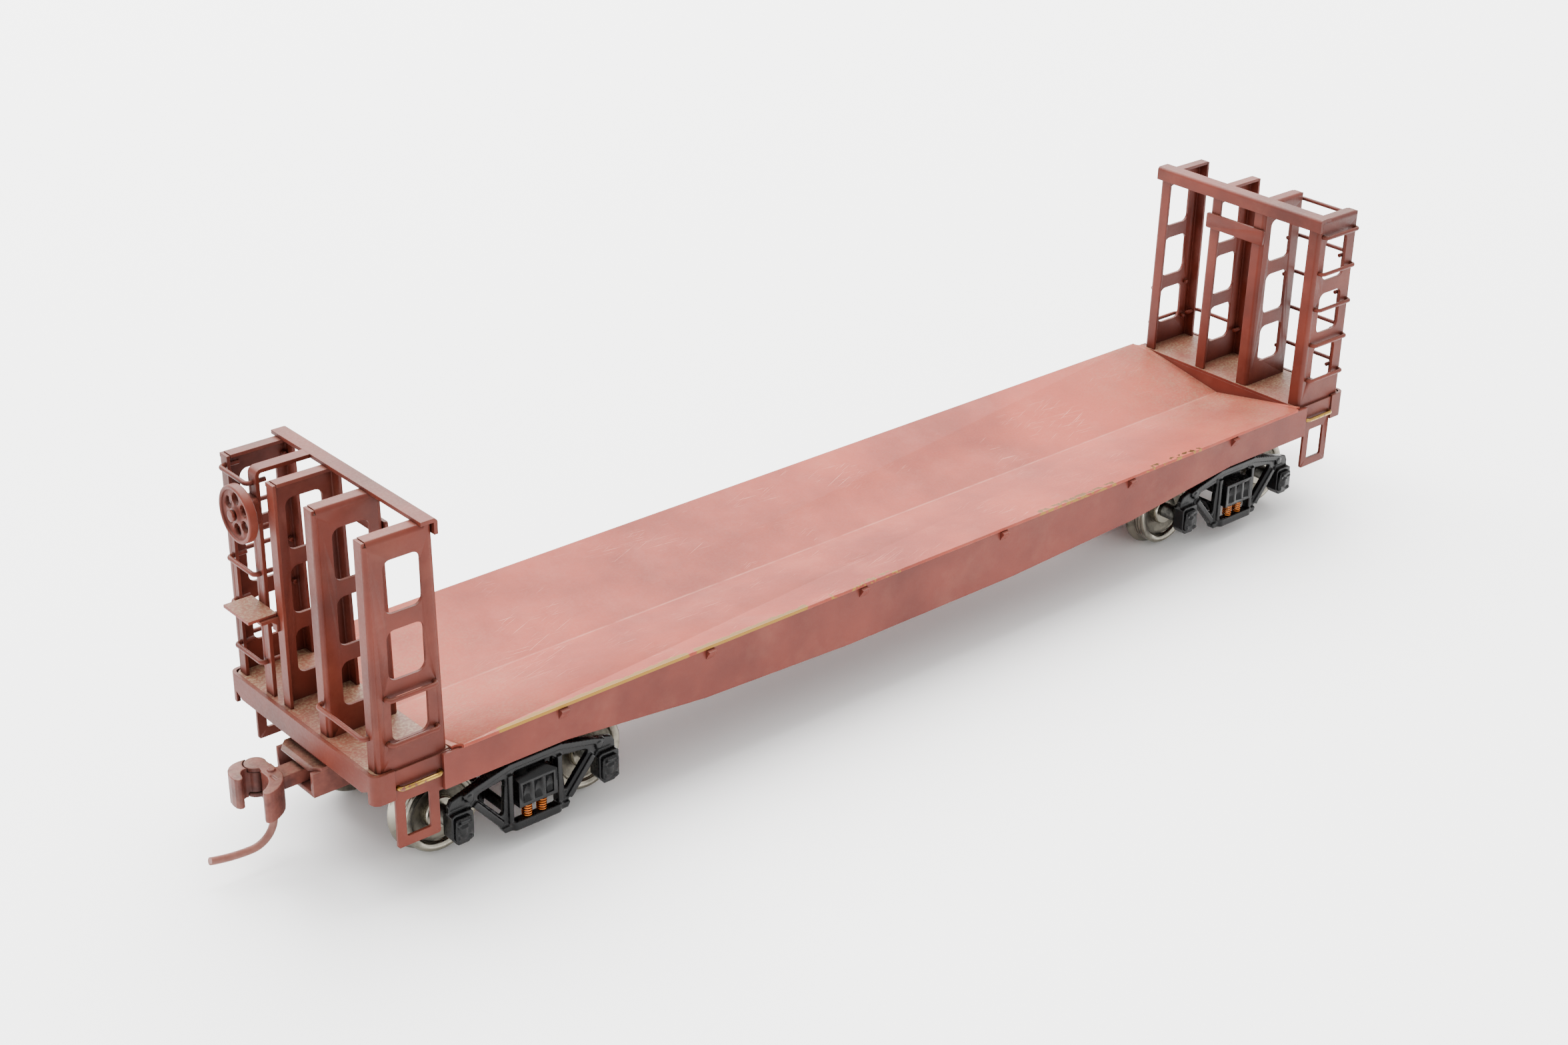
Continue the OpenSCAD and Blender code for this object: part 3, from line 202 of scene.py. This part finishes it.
def between(tree, value, low, high, soft):  # 1 from low to high in mm, falling away over soft
    rise = spread(tree, value, (low - soft) * mm, (low + soft) * mm)
    return product(tree, rise, spread(tree, value, (high + soft) * mm, (high - soft) * mm))


def mixColour(tree, factor, a, b):
    return addNode(tree, "ShaderNodeMix", {0: factor, 6: a, 7: b}, data_type="RGBA").outputs[2]


def mixValue(tree, factor, a, b):
    return addNode(tree, "ShaderNodeMix", {0: factor, 2: a, 3: b}, data_type="FLOAT").outputs[0]


def edgeRub(tree, widthMm):  # 1 on outside edges, where a rounded normal leaves the true one
    rounded = addNode(tree, "ShaderNodeBevel", {"Radius": widthMm * mm}, samples=4)
    true = addNode(tree, "ShaderNodeNewGeometry")
    match = addNode(tree, "ShaderNodeVectorMath", {
        0: rounded.outputs["Normal"], 1: true.outputs["Normal"]}, operation="DOT_PRODUCT")
    return spread(tree, match.outputs["Value"], *levels["edgeMatch"]), rounded.outputs["Normal"]


def lookUp(tree):  # 1 on faces that look up, where dust lies
    normal = addNode(tree, "ShaderNodeNewGeometry").outputs["Normal"]
    height = addNode(tree, "ShaderNodeSeparateXYZ", {"Vector": normal}).outputs["Z"]
    return spread(tree, height, *levels["lookingUp"])


def crevice(tree, reachMm):  # 1 deep in inside corners, from ambient occlusion; it places painted shade
    shade = addNode(tree, "ShaderNodeAmbientOcclusion", {"Distance": reachMm * mm}, samples=6)
    return spread(tree, shade.outputs["AO"], *levels["shaded"])


oxidePaint = {
    "lit": "#6c2e23",
    "deep": "#552119",
    "corner": "#43201c",  # painted shade in inside corners
    "chalk": "#8b5546",  # paint rubbed pale
    "dust": "#7f6a52",
    "brass": "#7b5c2a",
    "rubbedPale": 0.25,  # how pale the large rubbed patches are
    "roughness": 0.48,
    "cloudMm": 16.0,
}
# the oxide paint and its chalk made lighter for the deck: painted light on the up-facing deck, which faces
# the overhead lamp
litDeckPaint = dict(oxidePaint, lit="#923d2d", deep="#742e22", chalk="#b87c6c",
                 roughness=0.6, rubbedPale=0.12, cloudMm=24.0)
# a darker copy of the same oxide paint: painted shade on the bulkhead posts and end parts, with deeper
# painted shade in their inside corners
shadedBulkheadPaint = dict(oxidePaint, lit="#5e2519", deep="#451910", chalk="#80493a", corner="#230f0b")
underPaint = dict(oxidePaint, lit="#6b2f26", deep="#4a1f19", roughness=0.55)
# its corner colour is painted shade in the coupler's inside corners
couplerPaint = dict(oxidePaint, lit="#6b3a31", deep="#48241e", chalk="#8d6c61", corner="#20110f",
                    roughness=0.45, cloudMm=3.0)
wirePaint = dict(oxidePaint, lit="#80544a", deep="#6b423a", chalk="#a3877d", roughness=0.4, cloudMm=3.0)

enamelPatches = {  # size in mm, noise levels where a patch starts and is full, detail of its outline
    "rubbed": (6.5, 0.5, 0.8, 7.0),
    "edges": (1.6, 0.42, 0.66),
    "scratched": (9, 0.5, 0.62),
    "fold": (5, 0.3, 0.6),
    "specks": (0.35, 0.44, 0.6, 3.0),
    "dust": (5, 0.2, 0.62, 6.0),
    "chips": (0.9, 0.66, 0.7),
    "chipped": (11, 0.5, 0.6),
}
enamel = {
    "cloud": (0.36, 0.64),
    "rubMm": 0.12,  # how far paint has rubbed back from an edge
    "edge": 0.7,
    # reach and strength of the painted shade in inside corners
    "cornerMm": 1.6,
    "corner": 0.75,
    "scratchMm": (7.0, 0.1),  # length and width
    "scratchTurns": (0.1, -0.35),  # radians from the length of the car
    "scratch": (0.66, 0.7),
    "foldMm": (0.22, 0.06),  # paint rubbed along the fold of the V
    "fold": 0.35,
    "thinDust": 0.3,
    "endMm": (50, 71),  # where the thicker dust towards the bulkheads starts and is full
    "grainMm": 0.3,
    "roughness": (0.08, 0.1),  # smoother and rougher than the paint's own value
    "bareRoughness": 0.34,
    "grainHeight": 0.35,
    "bump": 0.35,
    "bumpMm": 0.04,
    "specular": 0.2,
}


def scratchedColour(tree, vector, y, up, colour, chalk, amount):
    length, width = enamel["scratchMm"]
    for turn in enamel["scratchTurns"]:
        turned = addNode(tree, "ShaderNodeMapping", {"Vector": vector, "Rotation": (0.0, 0.0, turn)})
        stretched = addNode(tree, "ShaderNodeMapping", {
            "Vector": turned.outputs["Vector"],
            "Scale": (1 / (length * mm), 1 / (width * mm), 1 / (length * mm))})
        line = addNode(tree, "ShaderNodeTexNoise", {
            "Vector": stretched.outputs["Vector"], "Scale": 1.0, "Detail": 2.0})
        mark = product(tree, spread(tree, line.outputs["Fac"], *enamel["scratch"]),
                       blotch(tree, vector, *enamelPatches["scratched"]), up)
        colour = mixColour(tree, product(tree, mark, amount), colour, chalk)
    foldOut, foldIn = enamel["foldMm"]
    fold = spread(tree, maths(tree, "ABSOLUTE", y), foldOut * mm, foldIn * mm)
    fold = product(tree, fold, blotch(tree, vector, *enamelPatches["fold"]), enamel["fold"])
    return mixColour(tree, fold, colour, chalk)


def wornStrip(tree, vector, x, y, z, wear):  # 1 along the edge where the paint has worn through
    ragged = noise(tree, vector, wear["raggedMm"], 5.0)
    wander = product(tree, maths(tree, "SUBTRACT", ragged, 0.5), -wear["wanderMm"] * mm)
    reach = maths(tree, "ADD", y, wander)
    strip = spread(tree, reach, wear["innerY"] * mm, (wear["innerY"] - wear["softMm"]) * mm)
    strip = product(tree, strip, spread(tree, z, wear["lowZ"] * mm, (wear["lowZ"] + wear["riseMm"]) * mm))
    runs = None
    for start, end, strength in wear["runs"]:
        run = product(tree, between(tree, x, start, end, wear["endMm"]), strength)
        runs = run if runs is None else maths(tree, "MAXIMUM", runs, run)
    broken = product(tree, maths(tree, "SUBTRACT", ragged, 0.5), wear["breakUp"])
    runs = maths(tree, "GREATER_THAN", maths(tree, "ADD", runs, broken), wear["shown"])
    return product(tree, strip, runs)


# Sprayed enamel over brass sheet: satin, slightly clouded colour with fine grain, pale where hands have
# rubbed it, darker in inside corners as painted shade, and bright brass where it has worn through.
def oxideEnamel(name, values, dust=0.0, endDust=0.0, scratches=0.0, wornThrough=None, chips=0.35):
    material, tree = newMaterial(name)
    vector, x, y, z = objectPlace(tree)
    chalk = hexColour(values["chalk"])
    cloud = blotch(tree, vector, values["cloudMm"], *enamel["cloud"])
    colour = mixColour(tree, cloud, hexColour(values["deep"]), hexColour(values["lit"]))
    rubbed = product(tree, blotch(tree, vector, *enamelPatches["rubbed"]), values["rubbedPale"])
    colour = mixColour(tree, rubbed, colour, chalk)
    rub, soft = edgeRub(tree, enamel["rubMm"])
    edge = product(tree, rub, blotch(tree, vector, *enamelPatches["edges"]))
    colour = mixColour(tree, product(tree, edge, enamel["edge"]), colour, chalk)
    # painted shade: the paint darkens deep in inside corners, from ambient occlusion
    cornerShade = product(tree, crevice(tree, enamel["cornerMm"]), enamel["corner"])
    colour = mixColour(tree, cornerShade, colour, hexColour(values["corner"]))
    up = lookUp(tree)
    if scratches:
        colour = scratchedColour(tree, vector, y, up, colour, chalk, scratches)
    if dust or endDust:
        specks = mixValue(tree, blotch(tree, vector, *enamelPatches["specks"]), enamel["thinDust"], 1.0)
        lying = product(tree, specks, blotch(tree, vector, *enamelPatches["dust"]), up)
        amount = dust
        if endDust:
            endStart, endFull = enamel["endMm"]
            toEnd = spread(tree, maths(tree, "ABSOLUTE", x), endStart * mm, endFull * mm)
            amount = mixValue(tree, toEnd, dust, endDust)
        colour = mixColour(tree, product(tree, lying, amount), colour, hexColour(values["dust"]))
    grain = noise(tree, vector, enamel["grainMm"], 2.0)
    smoother, rougher = enamel["roughness"]
    rough = mixValue(tree, grain, values["roughness"] - smoother, values["roughness"] + rougher)
    bare = product(tree, rub, blotch(tree, vector, *enamelPatches["chips"]),
                   blotch(tree, vector, *enamelPatches["chipped"]), chips)
    if wornThrough:
        bare = maths(tree, "MAXIMUM", bare, wornStrip(tree, vector, x, y, z, wornThrough))
    colour = mixColour(tree, bare, colour, hexColour(values["brass"]))
    rough = mixValue(tree, bare, rough, enamel["bareRoughness"])
    height = maths(tree, "SUBTRACT", product(tree, grain, enamel["grainHeight"]), bare)
    bump = addNode(tree, "ShaderNodeBump", {
        "Height": height, "Strength": enamel["bump"], "Distance": enamel["bumpMm"] * mm, "Normal": soft})
    finishSurface(tree, {
        "Base Color": colour, "Roughness": rough, "Metallic": bare, "Normal": bump.outputs["Normal"]},
        **{"Specular IOR Level": enamel["specular"]})
    return material


brassMetal = {"bright": "#9c7c3d", "tarnish": "#6a5026", "roughness": 0.3, "paint": "#5e2a20"}
steelMetal = {"bright": "#55544f", "tarnish": "#2d2c2b", "roughness": 0.35}
copperMetal = {"bright": "#b8682c", "tarnish": "#8a4718", "roughness": 0.2}
drawn = {
    "tarnish": (1.6, 0.45, 0.68),  # patch size in mm and its noise levels
    "dulled": 0.18,  # roughness that tarnish adds
    "grainMm": 0.15,
    "grain": 0.15,
    "flakes": (0.8, 0.6, 0.63),
    "flakeRoughness": 0.5,
    "bump": 0.2,
    "bumpMm": 0.02,
}


# Drawn wire or turned metal, lightly tarnished: a bright metal with dull brown patches and fine grain.
def drawnMetal(name, values):
    material, tree = newMaterial(name)
    vector = objectPlace(tree)[0]
    dull = blotch(tree, vector, *drawn["tarnish"])
    colour = mixColour(tree, dull, hexColour(values["bright"]), hexColour(values["tarnish"]))
    grain = noise(tree, vector, drawn["grainMm"], 2.0)
    rough = mixValue(tree, dull, values["roughness"], values["roughness"] + drawn["dulled"])
    rough = maths(tree, "ADD", rough, product(tree, maths(tree, "SUBTRACT", grain, 0.5), drawn["grain"]))
    metal = 1.0
    if "paint" in values:  # flakes of paint left on the wire
        flake = blotch(tree, vector, *drawn["flakes"])
        colour = mixColour(tree, flake, colour, hexColour(values["paint"]))
        rough = mixValue(tree, flake, rough, drawn["flakeRoughness"])
        metal = maths(tree, "SUBTRACT", 1.0, flake)
    bump = addNode(tree, "ShaderNodeBump", {
        "Height": grain, "Strength": drawn["bump"], "Distance": drawn["bumpMm"] * mm})
    finishSurface(tree, {
        "Base Color": colour, "Roughness": rough, "Metallic": metal, "Normal": bump.outputs["Normal"]})
    return material


blackPaint = {
    "black": "#060607",
    "worn": "#1c1c1e",
    "dust": "#2a2723",
    "roughness": 0.18,
    "duller": 0.16,  # how much rougher the dull patches are
    "dustRoughness": 0.5,
    "rubMm": 0.14,
    "rubbed": (1.2, 0.4, 0.65),  # patch size in mm, noise levels, detail
    "rubAmount": 0.5,
    "lying": (0.6, 0.48, 0.62, 6.0),
    "dustAmount": 0.35,
    "dull": (2.5, 0.4, 0.7),
    "peelMm": 0.5,
    "bump": 0.2,
    "bumpMm": 0.03,
    "specular": 0.24,
}


# Black enamel on castings: thick and glossy with a slight orange peel, greyer on rubbed edges, dusty on top.
def blackEnamel(name, values):
    material, tree = newMaterial(name)
    vector = objectPlace(tree)[0]
    rub, soft = edgeRub(tree, values["rubMm"])
    worn = product(tree, rub, blotch(tree, vector, *values["rubbed"]), values["rubAmount"])
    colour = mixColour(tree, worn, hexColour(values["black"]), hexColour(values["worn"]))
    lying = product(tree, blotch(tree, vector, *values["lying"]), lookUp(tree), values["dustAmount"])
    colour = mixColour(tree, lying, colour, hexColour(values["dust"]))
    peel = noise(tree, vector, values["peelMm"], 3.0)
    dull = blotch(tree, vector, *values["dull"])
    rough = mixValue(tree, dull, values["roughness"], values["roughness"] + values["duller"])
    rough = maths(tree, "ADD", rough, product(tree, lying, values["dustRoughness"]))
    bump = addNode(tree, "ShaderNodeBump", {
        "Height": peel, "Strength": values["bump"], "Distance": values["bumpMm"] * mm, "Normal": soft})
    finishSurface(tree, {"Base Color": colour, "Roughness": rough, "Normal": bump.outputs["Normal"]},
                  **{"Specular IOR Level": values["specular"]})
    return material


wheelMetal = {
    "bright": "#8d887c",
    # grey comes from random stains and from painted shade over the dish; dark is patchy painted shade in the
    # dish
    "grey": "#57534b",
    "dark": "#34312c",
    "ringMm": 0.16,  # spacing of the tool marks, drawn coarser than they are so that they show
    "roughness": 0.14,
    "dishRoughness": 0.42,
    "ringRoughness": 0.1,
    "hubMm": 2.1,
    "rimMm": 3.6,
    "softMm": 0.08,
    "axleZ": 5.45,
    "stain": (2.2, 0.5, 0.75),  # patch size in mm and its noise levels
    # the next three set how strongly painted shade greys and darkens the dish
    "dishGrey": 0.7,
    "dishShade": (1.4, 0.4, 0.7),
    "dishShadeAmount": 0.8,
    "bump": 0.35,
    "bumpMm": 0.02,
}


# Turned nickel silver: bright on the tread, rim and hub, with rings round the axle, rougher in the dish,
# where painted shade makes it grey and dark.
def turnedNickel(name, values, axleX):
    material, tree = newMaterial(name)
    vector, x, _, z = objectPlace(tree)
    across = maths(tree, "SUBTRACT", x, axleX)
    upward = maths(tree, "SUBTRACT", z, values["axleZ"] * mm)
    squares = maths(tree, "ADD", product(tree, across, across), product(tree, upward, upward))
    radius = maths(tree, "SQRT", squares)
    dish = between(tree, radius, values["hubMm"], values["rimMm"], values["softMm"])
    turns = maths(tree, "DIVIDE", radius, values["ringMm"] * mm)
    rings = addNode(tree, "ShaderNodeTexNoise", {
        "W": turns, "Scale": 1.0, "Detail": 2.0}, noise_dimensions="1D").outputs["Fac"]
    stain = blotch(tree, vector, *values["stain"])
    # random stains, and painted shade over the dish, turn the metal grey
    grey = maths(tree, "MAXIMUM", stain, product(tree, dish, values["dishGrey"]))
    colour = mixColour(tree, grey, hexColour(values["bright"]), hexColour(values["grey"]))
    # painted shade: patchy dark in the dish
    dishShade = product(tree, dish, blotch(tree, vector, *values["dishShade"]), values["dishShadeAmount"])
    colour = mixColour(tree, dishShade, colour, hexColour(values["dark"]))
    rough = mixValue(tree, dish, values["roughness"], values["dishRoughness"])
    rough = maths(tree, "ADD", rough, product(tree, rings, values["ringRoughness"]))
    bump = addNode(tree, "ShaderNodeBump", {
        "Height": rings, "Strength": values["bump"], "Distance": values["bumpMm"] * mm})
    finishSurface(tree, {
        "Base Color": colour, "Roughness": rough, "Normal": bump.outputs["Normal"]}, Metallic=1.0)
    return material


deckWear = {  # where the near deck edge is worn to brass, in mm; a run is start, end and how much
    "innerY": -14.6,
    "lowZ": 16.45,
    "runs": ((-65.5, -39.0, 1.0), (-38.2, -21.0, 1.0), (-17.5, -4.0, 0.5), (18.0, 33.0, 0.62),
             (38.0, 50.0, 0.55)),
    "raggedMm": 0.9,  # size of the ragged bites
    "wanderMm": 1.1,  # how far they move the edge of the strip
    "softMm": 0.06,
    "riseMm": 0.1,
    "endMm": 0.4,  # how softly a run starts and ends
    "breakUp": 1.6,
    "shown": 0.62,
}
sheet = oxideEnamel("sprayedOxideEnamelSheet", oxidePaint, dust=0.12)
deckFinish = oxideEnamel("sprayedOxideEnamelDeck", litDeckPaint, dust=0.05, endDust=0.6, scratches=0.8,
                         wornThrough=deckWear)
platformFinish = oxideEnamel("sprayedOxideEnamelDusty", oxidePaint, dust=0.9)
bulkheadFinish = oxideEnamel("sprayedOxideEnamelBulkhead", shadedBulkheadPaint, dust=0.15)
underFinish = oxideEnamel("sprayedOxideEnamelUnderside", underPaint, chips=0.0)
couplerFinish = oxideEnamel("brushedOxideEnamelCoupler", couplerPaint, dust=0.35)
wireFinish = oxideEnamel("brushedOxideEnamelTripWire", wirePaint, chips=0.0)
brassWire = drawnMetal("drawnBrassWire", brassMetal)
steel = drawnMetal("blackenedSteel", steelMetal)
copper = drawnMetal("drawnCopperWire", copperMetal)
castingBlack = blackEnamel("glossBlackEnamelCasting", blackPaint)
finishBySlot = {
    "oxide_enamel": sheet,
    "underframe_enamel": underFinish,
    "coupler_enamel": couplerFinish,
    "trip_pin_enamel": wireFinish,
    "worn_brass_wire": brassWire,
    "blackened_steel": steel,
    "black_enamel": castingBlack,
    "copper_wire": copper,
}
finishByNode = {"deck_sheet": deckFinish, "end_platforms": platformFinish, "brake_step": platformFinish}
for node in ("outer_posts", "inner_posts", "top_beams", "name_boards", "side_rungs", "end_rungs",
             "side_grabs", "end_grabs", "brake_strap", "brake_housing", "brake_shaft", "brake_wheel",
             "brake_brackets", "end_sills", "step_panels"):
    finishByNode[node] = bulkheadFinish
print("finishes ready")

slotOf = {part["node"]: part["material_slot"] for part in frame["record"]["subparts"]}
bodyOf = {node: body for body, nodes in frame["record"]["behaviour"]["bodies"].items() for node in nodes}


joinMm = 0.0002  # corners nearer than this are one


def mergedMesh(name, nodes):  # one mesh of the nodes' triangles with their shared corners joined
    build = bmesh.new()
    for node in nodes:
        build.from_mesh(frame["nodes"][node].data)
    bmesh.ops.remove_doubles(build, verts=build.verts, dist=joinMm * mm)
    mesh = bpy.data.meshes.new(name)
    build.to_mesh(mesh)
    build.free()
    return mesh


def addPiece(name, mesh, nodes, material):  # a piece that stands for nodes, which it hides
    mesh.materials.clear()
    mesh.materials.append(material)
    piece = bpy.data.objects.new(name, mesh)
    bpy.context.scene.collection.objects.link(piece)
    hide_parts(*nodes)
    return piece


def applied(piece):  # the piece's mesh with its modifiers worked out, and the modifiers gone
    bpy.context.view_layer.update()
    evaluated = piece.evaluated_get(bpy.context.evaluated_depsgraph_get())
    mesh = bpy.data.meshes.new_from_object(evaluated)
    piece.modifiers.clear()
    return mesh


foldAngle = math.radians(32)


def smoothPiece(name, nodes, material):  # rounds shade smooth and folds stay crisp
    mesh = mergedMesh(name, nodes)
    for face in mesh.polygons:
        face.use_smooth = True
    mesh.set_sharp_from_angle(angle=foldAngle)
    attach(addPiece(name, mesh, nodes, material), bodyOf[nodes[0]])


castings = {
    "gridMm": {"side_frames": 0.12, "coupler": 0.07, "knuckle": 0.07},
    "softening": 1,  # smoothing passes that round the edges as a casting's are
    "softenFactor": 0.5,
}


def castPiece(name, nodes, material, gridMm):  # a casting with soft edges, rebuilt on a fine grid
    mesh = mergedMesh(name, nodes)
    mesh.transform(Matrix.Scale(1 / mm, 4))
    worker = bpy.data.objects.new(name + "Worker", mesh)
    bpy.context.scene.collection.objects.link(worker)
    grid = worker.modifiers.new("grid", "REMESH")
    grid.mode = "VOXEL"
    grid.voxel_size = gridMm
    soften = worker.modifiers.new("soften", "SMOOTH")
    soften.factor = castings["softenFactor"]
    soften.iterations = castings["softening"]
    cast = applied(worker)
    bpy.data.objects.remove(worker)
    cast.transform(Matrix.Scale(mm, 4))
    for face in cast.polygons:
        face.use_smooth = True
    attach(addPiece(name, cast, nodes, material), bodyOf[nodes[0]])


done = set()
for end in ("a", "b"):
    for part, gridMm in castings["gridMm"].items():
        node = part + "_" + end
        castPiece("cast." + part + "." + end, [node], finishBySlot[slotOf[node]], gridMm)
        done.add(node)
print("castings ready")

springs = {
    "seatX": 1.0,  # mm from the middle of the truck
    "seatY": 13.5,
    "lowZ": 3.2,
    "highZ": 5.2,
    "outsideD": 1.26,
    "wireD": 0.24,
    "turns": 5.5,
    "pointsPerTurn": 28,
    "pointsRoundWire": 10,
}
truckX = 59.9  # mm from the middle of the car to the middle of a truck
axleReach = 10.0  # mm from there to an axle


def springTree(material):  # a coil of round wire on each point
    tree = bpy.data.node_groups.new("coilSprings", "GeometryNodeTree")
    tree.interface.new_socket("Geometry", in_out="INPUT", socket_type="NodeSocketGeometry")
    for name in ("Coil radius", "Wire radius", "Height", "Turns"):
        tree.interface.new_socket(name, in_out="INPUT", socket_type="NodeSocketFloat")
    tree.interface.new_socket("Geometry", in_out="OUTPUT", socket_type="NodeSocketGeometry")
    given = addNode(tree, "NodeGroupInput")
    coil = addNode(tree, "GeometryNodeCurveSpiral", {
        "Resolution": springs["pointsPerTurn"], "Rotations": given.outputs["Turns"],
        "Start Radius": given.outputs["Coil radius"], "End Radius": given.outputs["Coil radius"],
        "Height": given.outputs["Height"]})
    section = addNode(tree, "GeometryNodeCurvePrimitiveCircle", {
        "Resolution": springs["pointsRoundWire"], "Radius": given.outputs["Wire radius"]})
    wire = addNode(tree, "GeometryNodeCurveToMesh", {
        "Curve": coil.outputs["Curve"], "Profile Curve": section.outputs["Curve"], "Fill Caps": True})
    placed = addNode(tree, "GeometryNodeInstanceOnPoints", {
        "Points": given.outputs["Geometry"], "Instance": wire.outputs["Mesh"]})
    real = addNode(tree, "GeometryNodeRealizeInstances", {"Geometry": placed.outputs["Instances"]})
    painted = addNode(tree, "GeometryNodeSetMaterial", {
        "Geometry": real.outputs["Geometry"], "Material": material})
    addNode(tree, "NodeGroupOutput", {"Geometry": painted.outputs["Geometry"]})
    return tree


coilTree = springTree(copper)
coilSizes = {
    "Coil radius": (springs["outsideD"] - springs["wireD"]) / 2 * mm,
    "Wire radius": springs["wireD"] / 2 * mm,
    "Height": (springs["highZ"] - springs["lowZ"] - springs["wireD"]) * mm,
    "Turns": springs["turns"],
}
for end, way in (("a", 1), ("b", -1)):
    seats = bpy.data.meshes.new("seats")
    seatZ = (springs["lowZ"] + springs["wireD"] / 2) * mm
    seats.from_pydata([((way * truckX + sx * springs["seatX"]) * mm, sy * springs["seatY"] * mm, seatZ)
                       for sx in (-1, 1) for sy in (-1, 1)], [], [])
    worker = bpy.data.objects.new("springWorker", seats)
    bpy.context.scene.collection.objects.link(worker)
    coils = worker.modifiers.new("coils", "NODES")
    coils.node_group = coilTree
    for socket in coilTree.interface.items_tree:
        if socket.name in coilSizes:
            coils[socket.identifier] = coilSizes[socket.name]
    mesh = applied(worker)
    bpy.data.objects.remove(worker)
    for face in mesh.polygons:
        face.use_smooth = True
    piece = addPiece("springs." + end, mesh, ["truck_springs_" + end], copper)
    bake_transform(piece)
    done.add("truck_springs_" + end)
print("springs ready")

for end, way in (("a", 1), ("b", -1)):
    for place, reach in (("outer", axleReach), ("inner", -axleReach)):
        axleX = way * (truckX + reach) * mm
        nickel = turnedNickel("turnedNickelSilver." + end + "." + place, wheelMetal, axleX)
        wheels = "wheels_" + end + "_" + place
        smoothPiece("smooth." + wheels, [wheels], nickel)
        done.add(wheels)
for node in sorted(slotOf):
    if node not in done:
        smoothPiece("smooth." + node, [node], finishByNode.get(node, finishBySlot.get(slotOf[node])))
print("sheet metal, wire and wheels ready")
